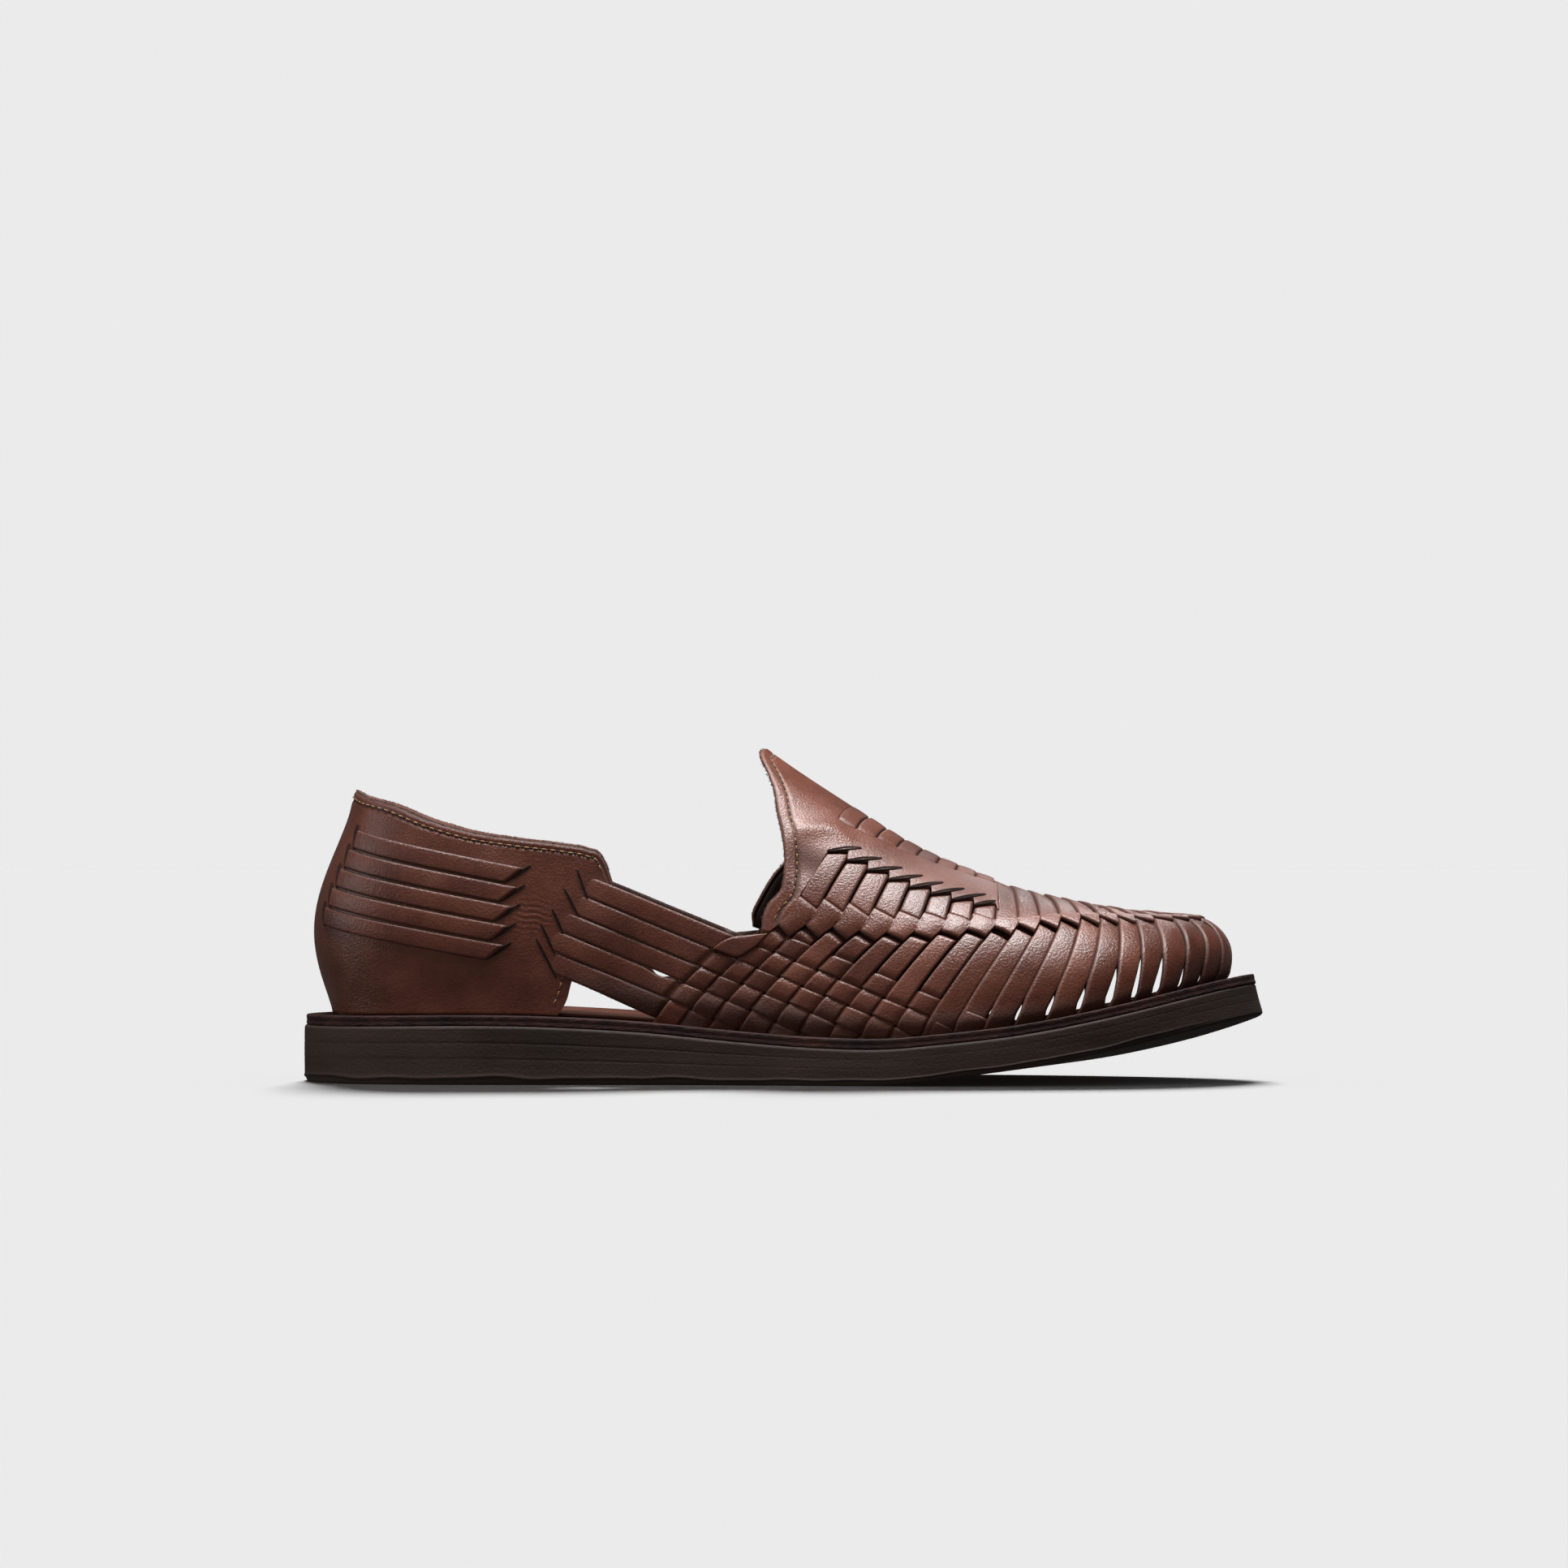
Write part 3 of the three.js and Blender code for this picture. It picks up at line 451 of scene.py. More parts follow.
# Lining of the vamp: thin dark suede behind the plug and the woven sides, cemented to the back of the
# straps. It gives the surface of the last that every strap of the upper is laid on.
SPINE_PLACE = [(-140, -54), (-60, -25), (-15, 2), (40, 48), (90, 86), (137, 118.5)]
SPINE_Y = [(-54, 1), (-30, 2), (-6, 3), (18.5, 4.6), (42, 6.1), (66.5, 6.8), (88.75, 7), (108.5, 6.4),
           (120, 6)]
SPINE_Z = [(-54, 154), (-30, 123), (-6, 102.5), (18.5, 85.8), (42, 71.3), (66.5, 61.3), (88.75, 55.8),
           (108.5, 52.5), (120, 51.4)]
SQUARENESS = [(-140, 2.5), (-80, 2.6), (-35, 2.7), (0, 2.6), (40, 2.5), (90, 2.5), (125, 2.9), (140, 3.0)]
HEEL_BULGE = {"side": 2.0, "back": 4.4, "height": 62.0, "lowness": 0.85, "peak": 1.5, "fade_x": -75.0,
              "fade": 12.0}
TOE_BULGE = {"depth": 1.6, "height": 20.0}
OUTER_THROAT = [(0, 0.354), (0.1, 0.424), (0.19, 0.464), (0.225, 0.465), (0.268, 0.469), (0.323, 0.479),
                (0.38, 0.481), (0.463, 0.479), (0.522, 0.475), (0.62, 0.466), (0.735, 0.456), (0.83, 0.442),
                (0.955, 0.418), (1, 0.412)]
INNER_THROAT = [(0, 0.354), (0.1, 0.424), (0.175, 0.463), (0.225, 0.463), (0.28, 0.469), (0.357, 0.478),
                (0.45, 0.489), (0.537, 0.490), (0.64, 0.482), (0.76, 0.469), (0.915, 0.441), (1, 0.412)]
STRIP_PLACE = [(-6, 0.33275), (-1, 0.4515), (1, 0.499), (9, 0.689), (16, 0.84), (21, 1.0)]
INNER_SHIFT = [(8.5, 0), (9.5, -0.1), (10.5, 0.28), (11.5, 0.40), (12.5, 0.42), (13.5, 0.41), (14.5, 0.26),
               (15.5, -0.04), (16.5, -0.06), (18.5, 0), (21, 0)]
TIP_STRIP = 21
LEAN_FROM = 0.499
LEAN_BELOW = (0.19, 0.52, 0.022)
LEAN_ABOVE = (0.085, 0.4, 0.008)
LEAN_HEAD = 0.82
RIM_LINE = [(0.45, 51.6), (0.492, 51.1), (0.521, 50.5), (0.568, 48.6), (0.642, 48.6), (0.689, 49.1),
            (0.756, 51.1), (0.834, 51), (1, 50.3)]
LINING_LIFT = -3.5
LINING_THICKNESS = 0.5
LINING_FRONT = 8.8
LINING_BACK, FOOT_BACK, TONGUE_BACK = 0.003, 0.04, 0.016


def station(side, along):
    """What one place along the featherline needs: foot, outward direction, mean x of both sides, foot
    height, spine point and the power of the rounded section."""
    foot, out = featherline(side, along)
    other = featherline(-np.asarray(side), along)[0]
    middle = (foot[..., 0] + other[..., 0]) / 2
    spine_x = row(middle, SPINE_PLACE)
    return (foot, out, middle, sole_top_z(foot[..., 0], foot[..., 1]) + FIT_GAP,
            spine_x, row(spine_x, SPINE_Y), row(spine_x, SPINE_Z), row(middle, SQUARENESS))


def bare_last(side, along, turn):
    """Surface of the last. Turn 0 is the featherline and turn 1 the spine. In between, the section is a
    quarter of a superellipse: the way out falls as cos^(2/power) and the height grows as sin^(2/power).
    A smooth bulge at heel and toe is added outward. Along below 0 or above 1, or turn above 1, goes on
    over the heel, the toe or the spine onto the other side."""
    along, turn, side = np.broadcast_arrays(along, turn, side)
    over = (along < 0) ^ (along > 1) ^ (turn > 1)
    side = np.where(over, -side, side)
    along = np.where(along > 1, 2 - along, np.abs(along))
    turn = np.clip(np.where(turn > 1, 2 - turn, turn), 0, 1)
    foot, out, middle, foot_z, spine_x, spine_y, spine_z, power = station(side, along)
    angle = turn * np.pi / 2
    across = np.maximum(np.cos(angle), 0) ** (2 / power)
    height = (spine_z - foot_z) * np.sin(angle) ** (2 / power)
    heel = HEEL_BULGE
    back = 1 / (1 + np.exp((middle - heel["fade_x"]) / heel["fade"]))
    most = back * (heel["side"] + heel["back"] * np.maximum(-out[..., 0], 0) ** 2)
    rise = np.clip(height / heel["height"], 0, 1) ** heel["lowness"]
    toe_rise = np.clip(height / TOE_BULGE["height"], 0, 1)
    swell = most * np.maximum(np.sin(np.pi * rise), 0) ** heel["peak"]
    swell = swell + TOE_BULGE["depth"] * np.maximum(out[..., 0], 0) * np.sin(np.pi * toe_rise)
    x = spine_x + (foot[..., 0] - spine_x) * across + out[..., 0] * swell
    y = spine_y + (foot[..., 1] - spine_y) * across + out[..., 1] * swell
    return np.stack([x, y, foot_z + height], -1)


def out_of_last(side, along, turn):
    """Outward direction: the cross product of two short chords, along the shoe and up the last."""
    step = 0.004
    along, turn, side = np.broadcast_arrays(along, turn, side)
    ahead = bare_last(side, along + step, turn) - bare_last(side, along - step, turn)
    above, below = np.clip(turn, 0, 2) + step, np.maximum(turn - step, 0)
    up = bare_last(side, along, above) - bare_last(side, along, below)
    return unit(np.cross(ahead, up) * -side[..., None])


def on_last(side, along, turn, lift):
    """Point of the leather: the last's surface moved out by lift."""
    lift = np.broadcast_to(lift, np.broadcast_shapes(np.shape(along), np.shape(turn), np.shape(lift)))
    return bare_last(side, along, turn) + out_of_last(side, along, turn) * lift[..., None]


def turn_at(side, along, z):
    """Turn at which the surface reaches a height: the section's height formula solved for its angle."""
    _, _, _, foot_z, _, _, spine_z, power = station(side, along)
    share = np.clip((z - foot_z) / (spine_z - foot_z), 0, 1)
    return 2 / np.pi * np.arcsin(share ** (power / 2))


def height_share(side, along, turn):
    """Share of the spine's height that the surface has reached at a turn."""
    return np.sin(np.clip(turn, 0, 1) * np.pi / 2) ** (2 / station(side, along)[7])


def rim_turn(side, along):
    """Turn of the rim band's middle line."""
    return turn_at(side, along, row(along, RIM_LINE))


WAY = np.linspace(0, 1, 400)
OUTER_FOOT = featherline(-1, WAY)[0]
INNER_FOOT = featherline(1, WAY)[0]
SIGHT = 2400.0


def throat(side, turn):
    """Way along of the throat edge at a turn, cut a little differently on the two sides."""
    return np.where(np.asarray(side) < 0, row(turn, OUTER_THROAT), row(turn, INNER_THROAT))


def strip_start(side, strip):
    """Way along at the rim of a cross strip, by its number. On the inner side the toe strips stand across
    from the outer ones, so that light passes through both gaps toward a point SIGHT away."""
    start = np.interp(strip, *np.array(STRIP_PLACE).T)
    outer_x = OUTER_FOOT[:, 0] * SIGHT / (SIGHT + OUTER_FOOT[:, 1])
    inner_x = INNER_FOOT[:, 0] * SIGHT / (SIGHT + INNER_FOOT[:, 1])
    across = np.interp(np.interp(start, WAY, outer_x), inner_x, WAY)
    return start + (across - start) * ease(strip, 8.6, 10.5) * (np.asarray(side) > 0)


def strip_along(side, strip, turn):
    """Middle line of a cross strip, by its number: it leans forward on its way up, most below the rim.
    The feet of the inner toe strips are shifted, so that their gaps lie behind the outer ones; toward
    the spine the two sides come together."""
    strip = strip - row(strip, INNER_SHIFT) * (np.asarray(side) > 0) * (1 - ease(turn, 0.25, 0.5))
    start = strip_start(side, strip)
    start = start + (strip_start(-1, strip) - start) * ease(turn, 0.5, 0.95)
    rim = height_share(side, start, rim_turn(side, start))
    share = height_share(side, start, turn)

    def lean(most, fall, least):
        """Lean that falls evenly toward the toe, down to a least one."""
        return np.maximum(least, most - fall * (start - LEAN_FROM))

    below = lean(*LEAN_BELOW) * np.maximum(0, rim - share)
    above = lean(*LEAN_ABOVE) * np.maximum(0, np.minimum(share, LEAN_HEAD) - rim)
    return np.minimum(start - below + above, 1)


def girth_of(g):
    """Side and turn of a place on the way from the outer featherline, at 0, over the spine, at 1, to the
    inner one, at 2."""
    return np.where(g <= 1, -1, 1), np.where(g <= 1, g, 2 - g)


def vamp_lining():
    """Sheet from the throat edge to the ninth strip, from sole to sole over the spine. It stays back from
    the edge, further at the foot and beside the tongue."""
    side, turn = girth_of(np.linspace(0, 2, 121)[None, :])
    front = strip_along(side, LINING_FRONT, turn)
    back = throat(side, turn) + LINING_BACK + FOOT_BACK * (1 - ease(turn, 0.08, 0.22))
    back = back + TONGUE_BACK * ease(turn, 0.45, 0.62)
    f = np.linspace(0, 1, 50)[:, None]
    along = back + (front - back) * f
    return {"points": on_last(side, along, turn, LINING_LIFT), "flip": True}


def suede(name, dark, light):
    """Dark suede: a short nap that scatters light, mottled where it is brushed one way or the other."""
    finish = Finish(name)
    place = finish.place()
    nap = finish.cloud(place, 1900.0, 4.0, 0.75)
    brushed = finish.cloud(place, 90.0, 3.0)
    finish.two_tone(finish.spread(finish.both(nap, brushed, "MULTIPLY"), 0.12, 0.42), dark, light)
    finish.dent(nap, 0.6, 0.0005)
    finish.even(Roughness=0.95, Specular_IOR_Level=0.1, Sheen_Weight=0.08, Sheen_Tint=(0.6, 0.35, 0.28, 1))
    return finish.material


def thicken(sheet, thickness, lined=False):
    """Gives a sheet its thickness on the inner side. A lined sheet shows its second finish on the back and
    its third on the cut edge."""
    wall = sheet.modifiers.new("thickness", "SOLIDIFY")
    wall.thickness = thickness / 1000
    wall.offset = -1
    if lined:
        wall.material_offset, wall.material_offset_rim = 1, 2
    return sheet


raw_edge = suede("raw_cut_edge", (0.060, 0.026, 0.020, 1), (0.20, 0.100, 0.080, 1))
# Dark suede of the linings, also used for the slits, where it is painted shade of their openings.
dark_suede_and_slit_shade = suede("dark_suede_and_slit_shade", (0.012, 0.007, 0.006, 1), (0.034, 0.019, 0.016, 1))
lining = thicken(piece("vamp_lining", [vamp_lining()], [dark_suede_and_slit_shade]), LINING_THICKNESS)

# Cross strips: leather strips six millimetres wide, skived at the edges, laid over the last from one
# side of the sole to the other. The first eight pass over and under the side straps, under the rim
# band, over the vamp, under the crown band and over the ridge; those ahead of them close the toe.
STRIP_THICKNESS = 1.3
STRIP_GAP = 0.035
WEAVE_DEPTH = 0.75
STRAP_LINE = {"z": 67.27, "at_x": -60.0, "pitch": 6.87, "slope": 0.412}
BAND_HALF = [(0, 0.055), (8, 0.052), (12, 0.042), (16, 0.036), (21, 0.034)]
BAND_SLANT = [(0, 0.048), (8, 0.058), (10, 0.085), (12, 0.10), (16, 0.10), (18, 0.07), (21, 0.03)]
CROWN_LOW, CROWN_SLANT = 0.576, 0.056
CROWN_HIGH = [(0.5, 0.762), (1.5, 0.772), (2.5, 0.797), (3.5, 0.815), (5, 0.832), (8.6, 0.845)]
CROWN_END = 8.6
FIRST_TOE_STRIP = 9
TUCK = 0.022
RIM_LAP, TOE_RIM_LAP = 0.018, 0.03
CROWN_LAPS = (0.012, 0.02)
BAR_RISE = 0.6
TUCK_DEPTH = 2.2
TOE_GAP = [(9.5, 0.0), (10.5, 0.6), (11.5, 0.8), (12.5, 0.9), (13.5, 1.0), (14.5, 1.6), (15.5, 1.8),
           (16.5, 1.5), (17.5, 0.7), (18.5, 0.2), (19.5, 0.1), (20.5, 0.0)]
TOE_GAP_HEAD = [(9.5, 0.1), (10.5, 0.15), (11.5, 0.19), (12.5, 0.25), (13.5, 0.28), (14.5, 0.46),
                (15.5, 0.5), (16.5, 0.5), (17.5, 0.42), (18.5, 0.3), (20.5, 0.2)]
STRIP_MM = 6.3
FOOT_TURN, FOOT_IN, FOOT_DOWN = 0.03, 1.0, 0.9
EDGE_SHADE = 0.75
draw = np.random.default_rng(11)


def saw(strip):
    """Share of the way across a strip, from -0.5 at its rear edge to 0.5 at its front edge."""
    return (strip + 0.5) % 1.0 - 0.5


def rim_edges(side, strip):
    """Lower and upper turn of the rim band over a strip's place: the band is cut by slanting slits, so
    over each strip it steps forward and down."""
    half = row(strip, BAND_HALF)
    middle = rim_turn(side, strip_start(side, strip))
    slant = row(strip, BAND_SLANT)
    upper_slant = slant * (1 - 0.9 * ease(strip, 8, 9))
    return middle - half - slant * saw(strip), middle + half - upper_slant * saw(strip)


def crown_edges(strip):
    """Lower and upper turn of the crown band over a strip's place: below, a saw of slits that rise to
    the front."""
    return CROWN_LOW + CROWN_SLANT * saw(strip), row(strip, CROWN_HIGH) - 0.01 * saw(strip)


def tucked(turn, low, high):
    """1 where a strip runs under a band, easing to 0 just outside it."""
    return ease(turn, low - 0.3 * TUCK, low + TUCK) * ease(-turn, -high - 0.3 * TUCK, -high + TUCK)


def ribbon_ring(bevel, depth, top=13):
    """Closed section of a strip: across runs from -1 to 1 over the crowned top and back below; drop is
    the depth under the top's middle, with both cut edges rounded off from the share where the bevel
    starts; edge tells how near a corner is to the cut."""
    across = np.sin(np.linspace(-1, 1, top) * np.pi / 2)
    fall = 0.16 * across**2 + depth * np.clip((np.abs(across) - bevel) / (1 - bevel), 0, 1) ** 2.5
    below = np.linspace(1, -1, 7)
    return (np.concatenate([across, below]), np.concatenate([fall, 0 * below + STRIP_THICKNESS]),
            np.concatenate([np.abs(across) ** 10, 0 * below + 1]))


RING_ACROSS, RING_DROP, RING_EDGE = ribbon_ring(0.82, 0.7)


def weave_height(number):
    """Up and down of a strap in the plain weave: 1 on top and -1 below, as a cosine pressed flat."""
    return np.tanh(1.7 * -np.cos(np.pi * number)) / np.tanh(1.7)


def strap_level(strap, x):
    """Height of a side strap's middle line seen from the side: straps run straight down to the front, one
    below the other."""
    return STRAP_LINE["z"] - STRAP_LINE["pitch"] * strap - STRAP_LINE["slope"] * (x - STRAP_LINE["at_x"])


def strap_number(points):
    """Which side strap lies at a point seen from the side, counted from the top."""
    return (strap_level(0, points[..., 0]) - points[..., 2]) / STRAP_LINE["pitch"]


def laid(side, along, turn, lift):
    """Corners of a strip on the last, its feet drawn in and down into the joint with the midsole."""
    foot = 1 - ease(turn, 0, FOOT_TURN)
    points = on_last(side, along, turn, lift - FOOT_IN * foot**2)
    points[..., 2] -= FOOT_DOWN * foot
    return points


def ribbon(points, shade, tint=0.5):
    """Tube from rings of corner points, both ends drawn together into a point, so that it is closed."""
    ends = [np.broadcast_to(ring.mean(1, keepdims=True), ring.shape) for ring in (points[:1], points[-1:])]
    shade = np.broadcast_to(shade, points.shape[:2])
    return {"points": np.concatenate([ends[0], points, ends[1]]), "round": True,
            "shade": np.concatenate([shade[:1], shade, shade[-1:]]), "tint": tint}


def toe_half(side, strip, end, turn):
    """Half width of a toe strip toward one edge, in strips: a small lap, opening into a gap near the
    sole, wider on the inner side."""
    boundary = strip + 0.5 * end
    share = height_share(side, strip_start(side, strip), turn)
    head = row(boundary, TOE_GAP_HEAD)
    opening = np.clip(1 - share / head, 0, 1) ** 0.8 * ease(share, -0.02, 0.1)
    wide = row(boundary, TOE_GAP) * (1 + 1.3 * (side > 0)) / STRIP_MM
    return 0.5 + 0.02 - 0.5 * (wide + 0.08) * opening


def cross_strip(strip):
    """Strip carried from sole to sole: the ring is set across the strip's own width on the last, and its
    lift falls where the strip goes under a strap or a band."""
    g = np.linspace(0, 2, 300)[:, None]
    side, turn = girth_of(g)
    across, drop = RING_ACROSS[None, :], RING_DROP[None, :]
    woven = strip < FIRST_TOE_STRIP
    if woven:
        half = 0.5 - STRIP_GAP * (1 - 0.55 * ease(turn, 0.7, 0.8)) + 0 * across
    else:
        half = np.where(across < 0, toe_half(side, strip, -1, turn), toe_half(side, strip, 1, turn))
    number = strip + across * half
    along = strip_along(side, number, turn)
    sway = draw.uniform(0, 6.28)
    lift = -drop + 0.14 * draw.uniform(-1, 1) * across + 0.1 * np.sin(g * 9 + sway)
    low, high = rim_edges(side, number)
    tuck = tucked(turn, low - (RIM_LAP if woven else TOE_RIM_LAP), high)
    if woven:
        crown_low, crown_high = crown_edges(number)
        crown_low, bars = crown_low - CROWN_LAPS[0], crown_high - CROWN_LAPS[1]
        tuck = np.maximum(tuck, tucked(turn, crown_low, bars))
        lift = lift + BAR_RISE * ease(turn, bars, crown_high + 0.03)
        strap = strap_number(bare_last(side, along, turn))
        strap = np.maximum(strap, 0 if strip % 2 else -1)
        lift = lift - WEAVE_DEPTH * (1 - weave_height(strip + strap))
    else:
        lift = lift - 0.35 * (across + 1)
    # Painted shade where the strip is tucked under a band and along its foot at the sole, besides the
    # darker cut edges.
    shade = np.maximum(EDGE_SHADE * RING_EDGE, 0.8 * tuck)
    shade = np.maximum(shade, 0.7 * (1 - ease(turn, 0, 0.08)))
    return ribbon(laid(side, along, turn, lift - TUCK_DEPTH * tuck), shade, draw.uniform(0.2, 0.8))


strap_leather = leather(
    "brown_strap_leather", deep=(0.062, 0.0160, 0.0085, 1), mid=(0.112, 0.0305, 0.0160, 1),
    pale=(0.170, 0.0520, 0.0290, 1), roughness=0.33, grain=1500.0, grain_depth=0.3, coat=0.12)
vamp_strips = piece("vamp_strips", [cross_strip(k) for k in range(1, FIRST_TOE_STRIP)], [strap_leather])
toe_strips = piece("toe_strips", [cross_strip(k) for k in range(FIRST_TOE_STRIP, TIP_STRIP)],
                   [strap_leather])
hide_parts("woven_upper")

# Toe tip: one short strip that closes the toe, from the sole up to the end of the ridge, where the
# neighbouring strips run together under the rim band.
TIP_HALF, TIP_TOP = 0.53, 0.995


def tip_strip():
    """Ribbon round the toe's end: strip numbers run past the tip onto the inner side. It stops just short
    of the spine's end, where the last has no one outward direction."""
    turn = np.linspace(0, TIP_TOP, 90)[:, None]
    number = TIP_STRIP + TIP_HALF * RING_ACROSS[None, :] + 0 * turn
    side = np.where(number > TIP_STRIP, 1, -1)
    along = strip_along(side, np.where(number > TIP_STRIP, 2 * TIP_STRIP - number, number), turn)
    low, high = rim_edges(side, TIP_STRIP + 0 * number)
    lift = -RING_DROP - TUCK_DEPTH * tucked(turn, low, high)
    return ribbon(laid(side, along, turn, lift), EDGE_SHADE * RING_EDGE)


toe_tip = piece("toe_tip_strip", [tip_strip()], [strap_leather])

# Side straps: five straps on each side that come out of slits in the counter, run forward and down
# across the open waist and are woven through the cross strips to the sole. A sixth, short one starts
# where the first cross strip folds over at the topline.
STRAP_SLITS = [-61.4, -64.5, -68.7, -71.8, -72.0]
STRAP_OUT = [(-9, -0.5), (-3.6, -0.5), (-1.0, -0.3), (2.5, 0.15), (8, 0.75), (14, 1.1), (24, 0.4), (40, 0),
             (90, 0)]
STRAP_LEAD, FOLD_X, STRAP_REACH = 9, -7.5, 70
STRAP_FEET = [(-80, -33), (15, -41), (70, -46)]
STRAP_HALF = 0.482
STRAP_PINCH = {"strap": 4, "x": -39.0, "length": 3.4, "outer": 0.75, "inner": 2.4}
FLAT_DROP = ribbon_ring(0.9, 0.5)[1]


def side_place(side, x, z):
    """Place on a side wall that is seen at x, z from the side: the way along is mended step by step by
    the distance still missing."""
    along = 0.5 + 0 * x
    for _ in range(40):
        turn = turn_at(side, along, z)
        along = np.clip(along + (x - bare_last(side, along, turn)[..., 0]) / 400, 0.02, 0.98)
    return along, turn_at(side, along, z)


def strip_number(side, along, turn):
    """Number of the cross strip at a place: halves the range of numbers until the strip's line fits."""
    low, high = -6.0 + 0 * along, 21.0 + 0 * along
    for _ in range(26):
        guess = (low + high) / 2
        ahead = strip_along(side, guess, turn) > along
        low, high = np.where(ahead, low, guess), np.where(ahead, guess, high)
    return (low + high) / 2


def side_strap(side, strap):
    """Strap carried along its straight line in the side view. It rises out of its slit, settles onto
    the last, then goes over and under the cross strips, and dives at the sole."""
    first = STRAP_SLITS[strap - 1] - STRAP_LEAD if strap else FOLD_X
    reach = np.linspace(first, STRAP_REACH, 400)
    under = strap_level(strap, reach) < sole_top_z(reach, row(reach, STRAP_FEET) * -side) - 3
    last = reach[np.argmax(under)] if np.any(under) else reach[-1]
    x = np.linspace(first, last, 190)[:, None]
    shift = RING_ACROSS[None, :] * STRAP_HALF * STRAP_LINE["pitch"] / (1 + STRAP_LINE["slope"] ** 2)
    if strap == STRAP_PINCH["strap"]:
        most = STRAP_PINCH["outer" if side < 0 else "inner"]
        shift = shift - most * hump(x, STRAP_PINCH["x"], STRAP_PINCH["length"]) * np.maximum(RING_ACROSS, 0)
    along, turn = side_place(side, x + shift * STRAP_LINE["slope"], strap_level(strap, x) + shift)
    number = strip_number(side, along, turn)
    settled = ease(number, -0.9, -0.45)
    drop = FLAT_DROP + (RING_DROP - FLAT_DROP) * settled
    lift = -drop - WEAVE_DEPTH * (1 + weave_height(number + strap)) * settled
    if strap:
        lift = lift + row(x - STRAP_SLITS[strap - 1], STRAP_OUT)
    else:
        lift = lift - 2.0 * (1 - ease(x, first, first + 5))
    # Painted shade along the strap's foot at the sole, besides the darker cut edges.
    shade = np.maximum(EDGE_SHADE * RING_EDGE, 0.7 * (1 - ease(turn, 0, 0.06)))
    return ribbon(laid(side, along, turn, lift), shade, draw.uniform(0.2, 0.7))


side_straps = piece("side_straps", [side_strap(side, strap) for side in (-1, 1) for strap in range(6)],
                    [strap_leather])

# First strip and its fold: the rearmost cross strip of each side comes up from the sole through the side
# straps, folds over at the topline in a leaf shape and goes on forward as the uppermost side strap.
LEAF_TOP = [(-21.6, 41.4), (-19.2, 43.3), (-16.2, 44.8), (-11.3, 45.5), (-4.9, 46.0)]
LEAF_LOW = [(-21.6, 41.4), (-18.0, 39.9), (-14.0, 38.7), (-10.8, 40.4), (-7.9, 42.6), (-4.9, 46.0)]
LEAF_RISE = 0.35
FOLD_TURN = 0.118


def first_strip(side):
    """Cross strip number 0, from the sole up to the fold, its head diving under the leaf."""
    turn = np.linspace(0, FOLD_TURN, 100)[:, None]
    number = (0.5 - STRIP_GAP) * RING_ACROSS[None, :] + 0 * turn
    along = strip_along(side, number, turn)
    strap = strap_number(bare_last(side, along, turn))
    lift = -RING_DROP - WEAVE_DEPTH * (1 - weave_height(np.maximum(strap, 1)))
    lift = lift - 1.2 * ease(turn, FOLD_TURN - 0.023, FOLD_TURN)
    return ribbon(laid(side, along, turn, lift), EDGE_SHADE * RING_EDGE, 0.45)


def topline_leaf(side):
    """Fold seen from the side as a leaf between an upper and a lower curve, crowned like a strip."""
    first, last = LEAF_TOP[0][0], LEAF_TOP[-1][0]
    x = first + (last - first) * (1 - np.cos(np.linspace(0.05, 0.97, 40) * np.pi)) / 2
    top, low = row(x, LEAF_TOP)[:, None], row(x, LEAF_LOW)[:, None]
    z = (top + low) / 2 + (top - low) / 2 * RING_ACROSS[None, :]
    along, turn = side_place(side, x[:, None] + 0 * z, z)
    rise = LEAF_RISE + 0.4 * np.sin(np.linspace(0, np.pi, 40))[:, None]
    return ribbon(on_last(side, along, turn, rise - RING_DROP), EDGE_SHADE * RING_EDGE)


first_strips = piece("first_strips", [first_strip(-1), first_strip(1)], [strap_leather])
leaves = piece("topline_leaves", [topline_leaf(-1), topline_leaf(1)], [strap_leather])

# Plug and crown band: one piece of smooth leather. The plug rises to the tongue at the throat, where
# its edge is stitched down; ahead of it the crown band runs on between the fingers and the ridge bars.
PLUG_FOOT = 0.19
PLUG_FRONT = 0.56
PLUG_THICKNESS = 1.3
PLUG_LIFT = 0.25
PLUG_SEAM = (0.0135, 0.0022)
CREASE_BACK, CREASE_FRONT = (0.476, 0.494), (0.515, 0.545)
CREASE = {"high": 0.9, "turn": 0.585, "climb": 0.09, "along": (0.484, 0.522), "width": 0.05}
TROUGH = {"deep": 1.2, "turn": 0.435, "width": 0.075}
WRINKLES = {"high": 0.14, "turn": 0.36, "width": 0.05, "along": (0.485, 0.51)}


